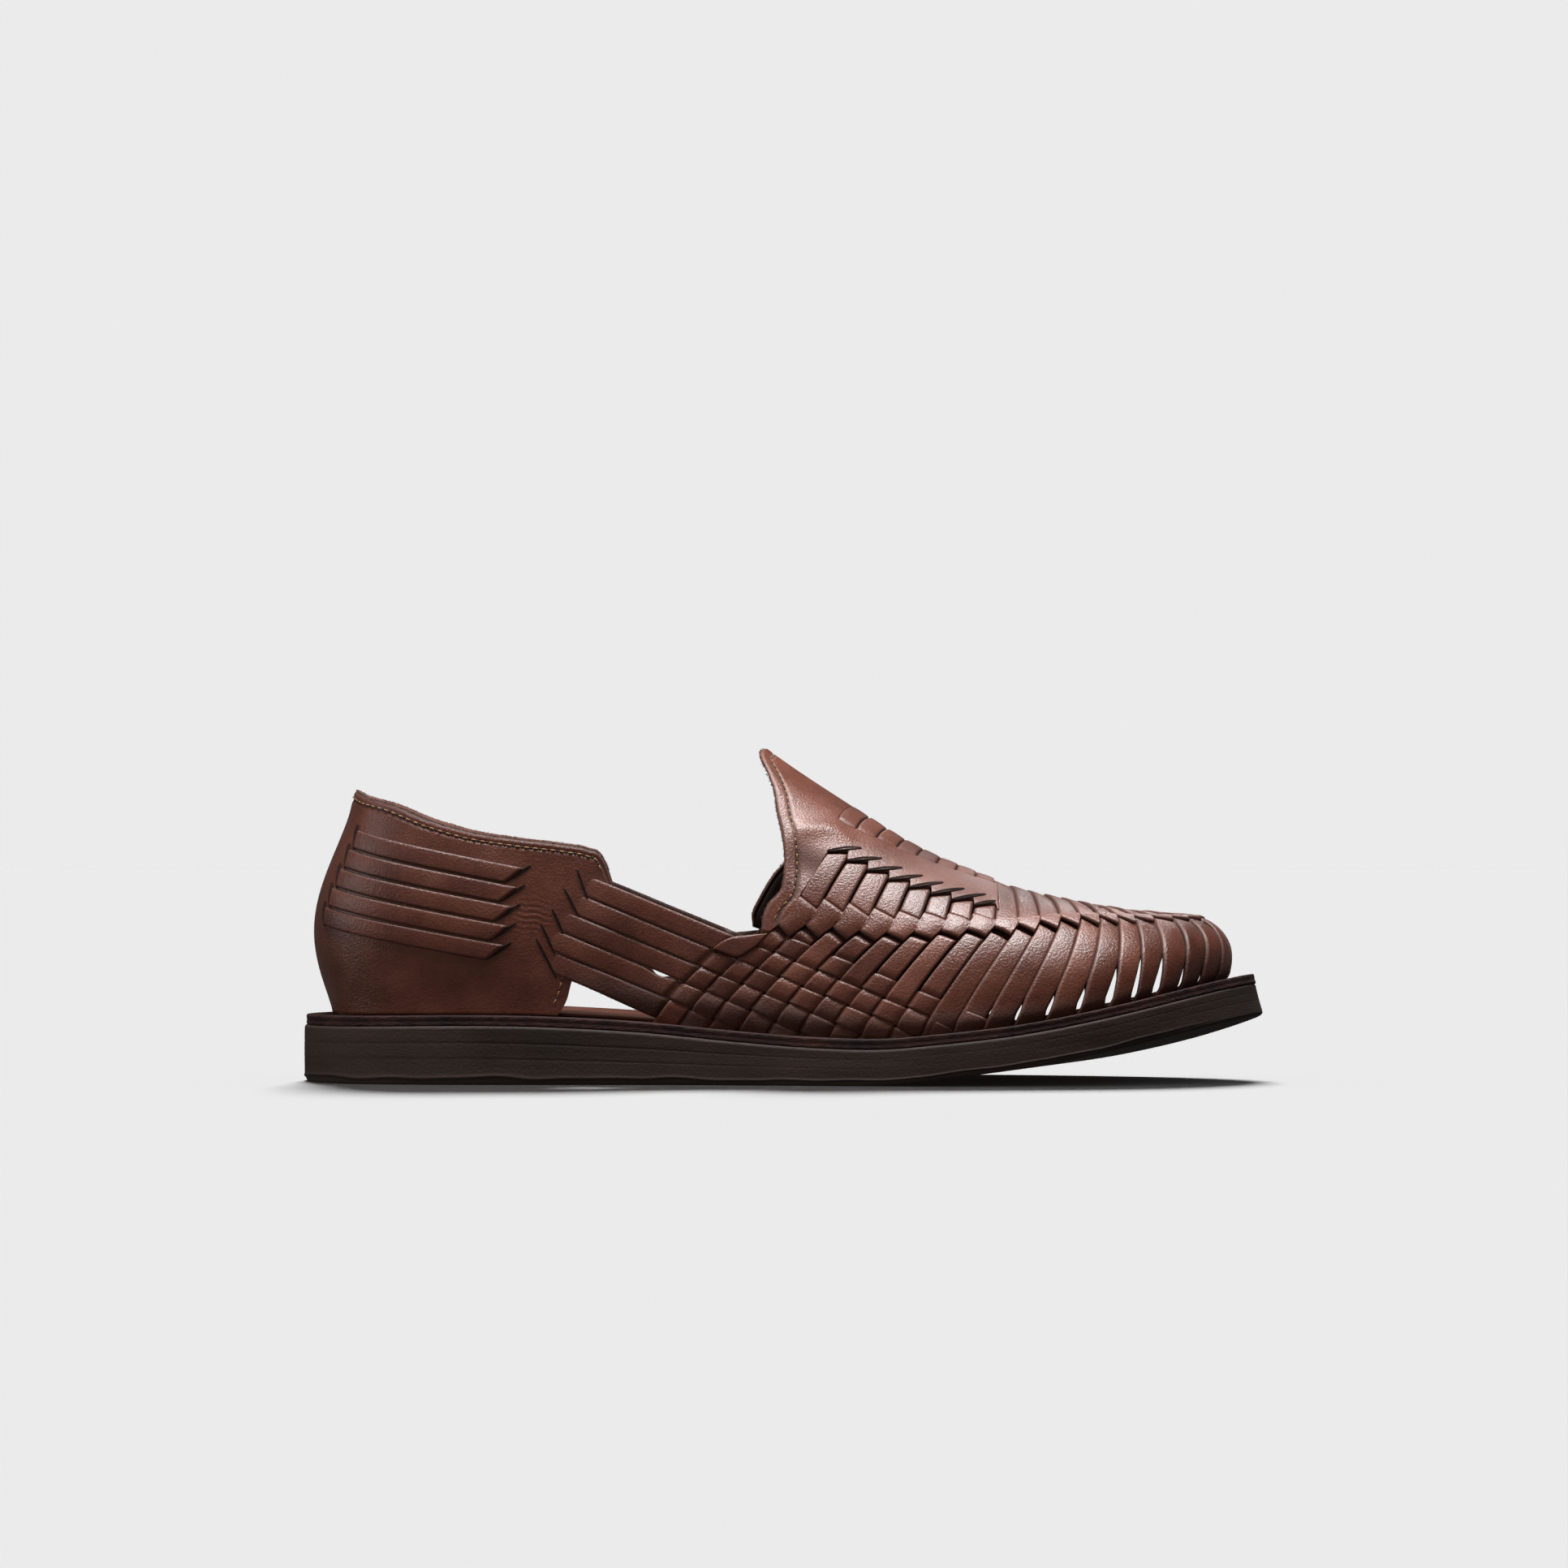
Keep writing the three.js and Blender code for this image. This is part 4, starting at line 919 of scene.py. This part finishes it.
def plug_sheet():
    """Sheet over the spine. Its rows run from the throat to the front; beyond the plug's front edge
    only the rows of the two crown bands go on, between the saw of slits and the ridge bars. Bell curves
    lift a crease on the flank, sink a trough below it and a seam along the throat, and bound a field of
    small wrinkles at the throat's corner."""
    lower = np.linspace(0, 1, 40)
    band = np.linspace(0, 1, 22)
    upper = np.linspace(0, 1, 18)
    back_columns, front_columns = 44, 120
    strips = np.concatenate([np.full(back_columns, PLUG_FRONT),
                             np.linspace(PLUG_FRONT, CROWN_END, front_columns)])[:, None]
    low, high = crown_edges(strips)
    half = np.concatenate([PLUG_FOOT + (low - PLUG_FOOT) * lower, low + (high - low) * band[1:],
                           high + (1 - high) * upper[1:]], 1)
    turn = np.concatenate([half, half[:, -2::-1]], 1)
    side = np.where(np.arange(turn.shape[1]) < half.shape[1], -1, 1)[None, :] + 0 * turn
    front = strip_along(side, strips + 0 * turn, turn)
    back = throat(side, turn)
    share = np.concatenate([np.linspace(0, 1, back_columns), np.ones(front_columns)])[:, None]
    along = back + (front - back) * share
    fold = along - back
    near = ease(along, *CREASE_BACK) * (1 - ease(along, *CREASE_FRONT))
    crease_turn = CREASE["turn"] + CREASE["climb"] * ease(along, *CREASE["along"])
    crease = CREASE["high"] * hump(turn, crease_turn, CREASE["width"])
    trough = -TROUGH["deep"] * hump(turn, TROUGH["turn"], TROUGH["width"])
    corner = hump(turn, WRINKLES["turn"], WRINKLES["width"]) * (1 - ease(along, *WRINKLES["along"]))
    wrinkles = WRINKLES["high"] * np.sin(turn * 260 + along * 300) * corner
    seam = hump(fold, *PLUG_SEAM)
    roll = -0.7 * (1 - ease(fold, 0.0, 0.004)) ** 2
    lift = PLUG_LIFT + near * (crease + trough) + wrinkles - 0.35 * seam + roll
    columns = half.shape[1] - 1
    in_band = (np.arange(columns) >= len(lower) - 1) & (np.arange(columns) < len(lower) + len(band) - 2)
    in_band = np.concatenate([in_band, in_band[::-1]])
    keep = (np.arange(len(strips) - 1) < back_columns)[:, None] | in_band[None, :]
    # The throat's cut edge is darker; painted shade darkens the sunk seam along the throat and the hollow
    # flank below the crease.
    shade = 0.45 * (1 - ease(fold, 0.0, 0.005)) + 0.5 * seam
    shade = np.maximum(shade, 0.45 * near * hump(turn, 0.48, 0.065))
    return {"points": on_last(side, along, turn, lift), "keep": keep, "flip": True, "shade": shade,
            "tint": 0.85}


lined_leather = [strap_leather, dark_suede_and_slit_shade, raw_edge]
plug = thicken(piece("plug_and_crown", [plug_sheet()], lined_leather), PLUG_THICKNESS, lined=True)

# Rim band: a narrow band of leather along the edge of the vamp, cut by slanting slits through which the
# cross strips pass, so that it reads as a chain of lozenges. It runs round the toe in one piece.
RIM_RISE = 0.3


def rim_band():
    """Ribbon along the rim, from the outer corner of the throat round the toe to the inner one."""
    number = np.linspace(PLUG_FRONT, 2 * TIP_STRIP - PLUG_FRONT, 900)[:, None]
    mirrored = np.where(number > TIP_STRIP, 2 * TIP_STRIP - number, number)
    side = np.where(number > TIP_STRIP, 1, -1) + 0 * RING_ACROSS[None, :].astype(int)
    low, high = rim_edges(side, mirrored)
    turn = (low + high) / 2 + (high - low) / 2 * RING_ACROSS[None, :]
    along = strip_along(side, mirrored + 0 * turn, turn)
    puff = 0.45 * (1 - 4 * saw(mirrored) ** 2) * (1 - 0.7 * ease(mirrored, 8, 10))
    lift = RIM_RISE + puff - RING_DROP[None, :]
    return ribbon(on_last(side, along, turn, lift), 0.6 * RING_EDGE, 0.6)


rim = piece("rim_band", [rim_band()], [strap_leather])

# Heel counter: one panel of leather bent round the heel, its collar and front edges stitched, its foot
# cemented under the last. Slits let the side straps in and out.
COUNTER_FRONT = [(0, 0.288), (0.1, 0.295), (0.25, 0.3), (1, 0.333)]
COLLAR = [(0, 89.5), (0.08, 89.3), (0.2, 87.8), (0.339, 85.4), (0.477, 80.4), (0.598, 76.9), (0.733, 74.6),
          (0.868, 72.8), (0.922, 71.7), (0.97, 68.6), (0.988, 64.6), (1, 61.3)]
COUNTER_WALL = 2.0
COUNTER_DEPTH = 62
COLLAR_SEAM = 2.6
CRINKLE = {"high": 0.11, "along": (0.262, 0.02), "height": (0.57, 0.09)}


def counter_place(share, height):
    """Side, way along and turn on the counter, by share from the heel line to the front edge, negative
    on the outer side, and share of the height from sole to collar."""
    side = np.where(share < 0, -1, 1)
    along = np.abs(share) * row(height, COUNTER_FRONT)
    foot_z = station(side, along)[3]
    return side, along, turn_at(side, along, foot_z + (row(np.abs(share), COLLAR) - foot_z) * height)


def counter_sheet():
    """Panel round the heel, with a stitched groove along the collar, a rolled top edge and a patch of
    fine crinkles, sines within a bell curve, below the tips of the straps."""
    share = np.sin(np.linspace(-1, 1, 281) * np.pi / 2)[:, None]
    height = np.linspace(0, 1, 120)[None, :] ** 0.9
    share, height = share + 0 * height, height + 0 * share
    side, along, turn = counter_place(share, height)
    down = (1 - height) * COUNTER_DEPTH
    groove = -0.3 * hump(down, COLLAR_SEAM, 0.55)
    roll = -0.6 * (1 - ease(down, 0, 1.2)) ** 2
    patch = hump(along, *CRINKLE["along"]) * hump(height, *CRINKLE["height"])
    crinkle = CRINKLE["high"] * np.sin(height * 190 + along * 90 + np.sin(along * 300)) * patch
    # Darker along the collar's cut edge, with painted shade in the stitched groove.
    shade = 0.85 * (1 - ease(down, 0, 1.4)) + 0.4 * hump(down, COLLAR_SEAM, 0.5)
    return {"points": on_last(side, along, turn, groove + roll + crinkle), "shade": shade, "tint": 0.42}


counter = thicken(piece("heel_counter_panel", [counter_sheet()], lined_leather), COUNTER_WALL, lined=True)
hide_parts("heel_counter")

# Strap runs on the counter: the side straps come out again through slanting slits, lie on the outside
# of the counter and go back in through slits near the heel line.
RUN_REAR = {"along": 0.077, "z": 77.3, "step_along": -0.006, "step_z": -5.85}
RUN_TIP = {"along": 0.254, "z": 65.6, "step_along": -0.003, "step_z": -5.83}
RUN_CUT = -0.016
RUN_WIDTH = 5.5
RUN_RISE = 1.05


def run_ends(step):
    """Way along and height of a run's upper corner, at the rear and at the tip."""
    return [(end["along"] + end["step_along"] * step, end["z"] + end["step_z"] * step)
            for end in (RUN_REAR, RUN_TIP)]


def strap_run(side, step):
    """Ribbon between its two slits: across it the height falls by its width, along it the top line is
    straight, and both ends dive through the counter."""
    f = np.linspace(-0.02, 1.02, 130)[:, None]
    lower = (1 - RING_ACROSS[None, :]) / 2
    (rear, rear_z), (tip, tip_z) = run_ends(step)
    along = rear + (tip + RUN_CUT * lower - rear) * f
    z = rear_z + (tip_z - rear_z) * (along - rear) / (tip - rear) - RUN_WIDTH * lower
    dive = (1 - ease(f, -0.012, 0.03)) + (1 - ease(-f, -1.012, -0.975))
    lift = RUN_RISE - FLAT_DROP - 1.5 * dive
    # Painted shade where both ends dive into their slits, besides the darker cut edges.
    shade = np.maximum(0.8 * RING_EDGE, 0.8 * ease(dive, 0.2, 0.8))
    return ribbon(on_last(side, along, turn_at(side, along, z), lift), shade, draw.uniform(0.25, 0.6))


for side_name, side in (("outer", -1), ("inner", 1)):
    for step in range(5):
        run = piece(f"strap_run_{side_name}_{step + 1}_leather", [strap_run(side, step)], [strap_leather])
        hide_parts(f"strap_run_{side_name}_{step + 1}")

# Slits: each strap passes through a slit cut with a chisel, in the counter and in the crown band. The
# leather stands up a little along both lips, and lips and groove are drawn in near-black suede as painted
# shade of the opening.
SLIT_ACROSS = np.array([-1, -0.72, -0.4, 0, 0.4, 0.72, 1, 0.5, -0.5])
SLIT_RISE = np.array([-0.25, 0.16, 0.14, -0.2, 0.14, 0.16, -0.25, -0.7, -0.7])
SLIT_SHADE = np.array([0.35, 0.3, 0.9, 1.0, 0.9, 0.3, 0.35, 1.0, 1.0])
STRAP_SLIT_ENDS = [(0.300, 65.4, 0.312, 56.2), (0.290, 59.8, 0.305, 51.0), (0.281, 53.4, 0.292, 46.0),
                   (0.272, 48.8, 0.285, 39.8), (0.268, 44.6, 0.287, 32.4)]
STRAP_SLIT = {"half": 0.46, "lift": 0.2}
REAR_SLIT = {"half": 1.0, "lift": 0.5}
TIP_SLIT = {"half": 0.55, "lift": 0.25}
CROWN_SLIT = {"half": 0.9, "lift": 0.42}


def slit(side, along, turn, half, lift):
    """Narrow spindle on the last along a line of places: its half width swells as the root of a sine
    from one end to the other, and its section has two lips and a groove between them."""
    middle, out = bare_last(side, along, turn), out_of_last(side, along, turn)
    beside = np.cross(out, unit(np.gradient(middle, axis=0)))
    swell = np.sqrt(np.maximum(np.sin(np.linspace(0.04, 0.96, len(middle)) * np.pi), 0))
    points = (middle[:, None] + beside[:, None] * (half * swell[:, None] * SLIT_ACROSS)[..., None]
              + out[:, None] * (lift + swell[:, None] * SLIT_RISE)[..., None])
    return ribbon(points, SLIT_SHADE, 0.4)


def counter_slit(side, start_along, start_z, end_along, end_z, half, lift):
    """Slit on the counter between two places given by way along and height."""
    f = np.linspace(0, 1, 16)
    along = start_along + (end_along - start_along) * f
    return slit(side, along, turn_at(side, along, start_z + (end_z - start_z) * f), half, lift)


def run_slits(side, step):
    """The two slits of a strap run: a gaping one at the rear and a fine one along the slanting tip."""
    (rear, rear_z), (tip, tip_z) = run_ends(step)
    low, low_z = tip + RUN_CUT, tip_z - RUN_WIDTH
    return [counter_slit(side, rear - 0.003, rear_z + 1.6, rear + 0.004, rear_z - 6.0, **REAR_SLIT),
            counter_slit(side, low - 0.002, low_z + 1.2, tip + 0.0045, tip_z + 0.9, **TIP_SLIT)]


def crown_slit(side, strip):
    """Slit in the crown band over a finger: it rises to the front and ends in a point past the finger."""
    number = strip + np.linspace(-0.5, min(1.0, CROWN_END - 0.15 - strip), 18)
    turn = CROWN_LOW - 0.5 * CROWN_SLANT + (CROWN_SLANT + 0.016) * (number - strip + 0.5)
    return slit(side, strip_along(side, number, turn), turn, **CROWN_SLIT)


cuts = []
for side in (-1, 1):
    cuts += [counter_slit(side, *ends, **STRAP_SLIT) for ends in STRAP_SLIT_ENDS]
    cuts += [cut for step in range(5) for cut in run_slits(side, step)]
    cuts += [crown_slit(side, strip) for strip in range(1, FIRST_TOE_STRIP)]
# The slits are drawn in the near-black suede: painted shade of their openings.
slits = piece("strap_slits", cuts, [dark_suede_and_slit_shade])

# Stitching: one row of ochre thread along the collar, one down each front edge of the counter and one round
# the throat, sewn by machine; between the stitches the needle's hole is a near-black bead of painted shade.
STITCH_PITCH = 2.7
COLLAR_STITCH_IN, FRONT_STITCH_IN, THROAT_STITCH_IN = 2.3, 3.0, 3.9
STITCH = {"length": 1.9, "thick": 0.26, "shift": 1.4, "sink": 0.05}
NEEDLE_HOLE = {"length": 0.95, "thick": 0.34, "shift": 2.75, "sink": 0.3}


def edge_line(side, along, turn):
    """Edge of a panel as points on the last, with the outward and the inward direction at each."""
    points, out = bare_last(side, along, turn), out_of_last(side, along, turn)
    return points, out, np.cross(out, unit(np.gradient(points, axis=0)))


def stitch_row(points, out, length, thick, shift, sink):
    """Short threads spaced evenly along a line: seven rings of six corners each, thick in the middle,
    with both ends dipping into the leather."""
    run = length_along(points)
    f = np.linspace(-0.5, 0.5, 7)
    at = np.arange(shift, run[-1] - STITCH_PITCH / 2, STITCH_PITCH)[:, None] + f * length
    middle, up = between(at, run, points), between(at, run, out)
    beside = np.cross(up, unit(np.gradient(middle, axis=1)))
    angle = np.linspace(0, 2 * np.pi, 7)[:-1]
    bulge = thick * np.sqrt(1 - 3.2 * f**2)[None, :, None, None]
    dip = (thick * (0.45 - 6.0 * f**4 * 4) - sink)[None, :, None]
    ring = beside[:, :, None] * np.cos(angle)[:, None] + up[:, :, None] * np.sin(angle)[:, None]
    return [ribbon(one, 0.0) for one in (middle + up * dip)[:, :, None] + ring * bulge]


def thread(name, dark, light):
    """Waxed sewing thread: two ochres mixed by a fine cloud. Made in two near-blacks, the same finish is
    the painted shade of the needle holes.
    """
    finish = Finish(name)
    finish.two_tone(finish.cloud(finish.place(), 900.0, 2.0), dark, light)
    finish.even(Roughness=0.6)
    return finish.material


share = np.sin(np.linspace(-1, 1, 900) * np.pi / 2) * 0.985
collar_line, collar_out, collar_in = edge_line(*counter_place(share, 1 + 0 * share))
sewn = [(collar_line + collar_in * COLLAR_STITCH_IN, collar_out)]
for side in (-1, 1):
    height = np.linspace(0.04, 0.32, 60)
    front_line, front_out, front_in = edge_line(*counter_place(side * (1 + 0 * height), height))
    sewn.append((front_line - front_in * FRONT_STITCH_IN * side, front_out))
girth_side, girth_turn = girth_of(np.linspace(0.215, 1.785, 700))
throat_line, throat_out, throat_in = edge_line(girth_side, throat(girth_side, girth_turn), girth_turn)
sewn.append((throat_line - throat_in * THROAT_STITCH_IN, throat_out))
ochre = thread("ochre_thread", (0.16, 0.075, 0.022, 1), (0.34, 0.17, 0.055, 1))
# Near-black beads in the needle holes: painted shade of the holes.
needle_hole_shade = thread("needle_holes", (0.004, 0.002, 0.002, 1), (0.012, 0.006, 0.005, 1))
threads = piece("edge_stitches", [one for line in sewn for one in stitch_row(*line, **STITCH)], [ochre])
holes = piece("needle_holes", [one for line in sewn for one in stitch_row(*line, **NEEDLE_HOLE)],
              [needle_hole_shade])

# Raw edges: collar, throat and straps are cut and left unbound, so that fibres of the flesh side stand
# out from the cut in small tufts.
COLLAR_TUFTS, THROAT_TUFTS, STRAP_TUFTS = (1100, 0.5), (800, 0.55), (130, 0.4)
TOP_CORNER, LOW_CORNER = 12, 0
TUFTED_EDGES = [(1, TOP_CORNER), (1, LOW_CORNER), (3, LOW_CORNER), (4, TOP_CORNER), (5, LOW_CORNER)]
FREE_LENGTH = slice(24, 120)


def fibres(points, out, away, count, size):
    """Tufts along a line: each is a three-sided spike, closed at the root, bent, and pointing away from the
    piece with some scatter."""
    at = draw.uniform(0, len(points) - 1, count)
    rank = np.arange(len(points))
    root, ways, ups = (between(at, rank, line) for line in (points, away, out))
    ways = unit(ways + 0.5 * draw.normal(size=ways.shape))
    beside = np.cross(ways, ups)
    long = size * draw.uniform(0.35, 1.0, count)[:, None]
    angle = np.linspace(0, 2 * np.pi, 4)[:-1]
    ring = beside[:, None] * np.cos(angle)[:, None] + ups[:, None] * np.sin(angle)[:, None]
    root = root - ups * draw.uniform(0.1, 1.0, count)[:, None] - ways * 0.15
    bend = 0.3 * draw.normal(size=ways.shape)
    rows = [root[:, None] + ring * 0.0, root[:, None] + ring * 0.12,
            (root + ways * 0.55 * long)[:, None] + ring * 0.08,
            (root + (ways + bend) * long)[:, None] + ring * 0.0]
    return [{"points": one, "round": True} for one in np.stack(rows, 1)]


tufts = (fibres(collar_line, collar_out, -collar_in, *COLLAR_TUFTS)
         + fibres(throat_line, throat_out, throat_in, *THROAT_TUFTS))
for side in (-1, 1):
    for strap, corner in TUFTED_EDGES:
        strap_edge = side_strap(side, strap)["points"][FREE_LENGTH, corner]
        strap_out = np.broadcast_to([0, side, 0.0], strap_edge.shape)
        strap_way = np.broadcast_to([0, 0, 1.0 if corner == TOP_CORNER else -1.0], strap_edge.shape)
        tufts += fibres(strap_edge, strap_out, strap_way, *STRAP_TUFTS)
fuzz = piece("raw_edge_fibres", tufts, [raw_edge])

# Floor, light and camera: a plain pale sweep, with a soft shadow from one high light behind the shoe, and
# soft panels above, in front, behind and at the heel that fall on the shoe alone. The shoe is seen square
# from its outer side.
PALE = 0.83
FLOOR_ALBEDO = 0.85
FLOOR_HALF = 20
BACKDROP_RADIUS, BACKDROP_SIDES = 6, 96
SKY = 0.08
SUN_HEIGHT, SUN_SOFTNESS = np.radians(44), np.radians(22)
CAMERA_HEIGHT, CAMERA_LENS = 0.0913, 179


def grey(value):
    """Neutral colour of one value."""
    return value, value, value, 1


def stage_piece(name, points, faces, finish):
    """Plain object of the studio, which neither lights the shoe nor shows in its gloss."""
    mesh = bpy.data.meshes.new(name)
    mesh.from_pydata(points, [], faces)
    mesh.materials.append(finish.material)
    made = bpy.data.objects.new(name, mesh)
    made.visible_diffuse = made.visible_glossy = False
    bpy.context.scene.collection.objects.link(made)
    return made


floor_finish = Finish("pale_floor")
floor_finish.even(Base_Color=grey(FLOOR_ALBEDO), Roughness=1.0, Specular_IOR_Level=0.0)
corners = np.array([(-1, -1, 0), (1, -1, 0), (1, 1, 0), (-1, 1, 0)]) * FLOOR_HALF
floor = stage_piece("floor", corners, [(0, 1, 2, 3)], floor_finish)

backdrop_finish = Finish("pale_backdrop")
backdrop_finish.even(Base_Color=grey(0), Specular_IOR_Level=0.0, Emission_Color=grey(PALE),
                     Emission_Strength=1.0)
angle = np.linspace(0, 2 * np.pi, BACKDROP_SIDES + 1)
ring = np.stack([np.cos(angle), np.sin(angle)], -1) * BACKDROP_RADIUS
wall_points = np.stack([np.c_[ring, 0 * angle - 1], np.c_[ring, 0 * angle + BACKDROP_RADIUS]], 1)
k = np.arange(BACKDROP_SIDES) * 2
backdrop = stage_piece("backdrop", wall_points.reshape(-1, 3), np.stack([k, k + 1, k + 3, k + 2], -1),
                       backdrop_finish)
backdrop.visible_shadow = False

world = bpy.data.worlds.new("studio")
bpy.context.scene.world = world
world.use_nodes = True
world.node_tree.nodes["Background"].inputs["Color"].default_value = grey(SKY)
world.node_tree.nodes["Background"].inputs["Strength"].default_value = 1.0

not_floor = bpy.data.collections.new("not_floor")
not_floor.objects.link(floor)
not_floor.collection_objects[0].light_linking.link_state = "EXCLUDE"
only_floor = bpy.data.collections.new("only_floor")
only_floor.objects.link(floor)


def aimed(name, lamp, place, aim):
    """Light at a place, turned to face a point."""
    made = bpy.data.objects.new(name, lamp)
    made.location = place
    made.rotation_euler = (Vector(aim) - Vector(place)).to_track_quat("-Z", "Y").to_euler()
    bpy.context.scene.collection.objects.link(made)
    return made


def soft_panel(name, place, aim, size, power):
    """Rectangular soft light that falls on the shoe and not on the floor."""
    lamp = bpy.data.lights.new(name, "AREA")
    lamp.shape = "RECTANGLE"
    lamp.size, lamp.size_y = size
    lamp.energy = power
    made = aimed(name, lamp, place, aim)
    made.light_linking.receiver_collection = not_floor
    return made


sun = bpy.data.lights.new("high_back_light", "SUN")
sun.angle = SUN_SOFTNESS
sun.energy = (PALE / FLOOR_ALBEDO - SKY) * np.pi / np.sin(SUN_HEIGHT)
sun_place = (0, 2 * np.cos(SUN_HEIGHT), 2 * np.sin(SUN_HEIGHT))
aimed("high_back_light", sun, sun_place, (0, 0, 0)).light_linking.receiver_collection = only_floor
soft_panel("top_panel", (0.05, -0.24, 1.05), (0.03, 0, 0.05), (0.9, 0.38), 14)
soft_panel("overhead_strip", (0.06, -0.06, 1.05), (0.04, 0, 0.05), (0.8, 0.34), 19).visible_diffuse = False
soft_panel("high_panel", (0.0, 0.1, 1.2), (0.02, 0, 0.05), (1.0, 0.6), 13).visible_glossy = False
toe_lamp = soft_panel("toe_lamp", (0.3, 1.1, 0.75), (0.115, 0, 0.06), (0.1, 0.1), 0.004)
toe_lamp.visible_diffuse = False
toe_lamp.data.spread = np.radians(7)
soft_panel("front_panel", (-0.5, -1.6, 0.5), (0, 0, 0.05), (1.0, 0.7), 4.5).visible_glossy = False
soft_panel("heel_panel", (-1.2, -0.3, 0.35), (-0.1, 0, 0.05), (0.5, 0.5), 2.5)
soft_panel("back_panel", (0.1, 1.3, 0.9), (0, 0, 0.05), (1.2, 0.7), 9).visible_glossy = False

camera_data = bpy.data.cameras.new("camera")
camera_data.lens = CAMERA_LENS
camera = bpy.data.objects.new("camera", camera_data)
camera.location = (0, -SIGHT / 1000, CAMERA_HEIGHT)
camera.rotation_euler = (np.pi / 2, 0, 0)
bpy.context.scene.collection.objects.link(camera)
bpy.context.scene.camera = camera
bpy.context.scene.view_settings.view_transform = "Standard"
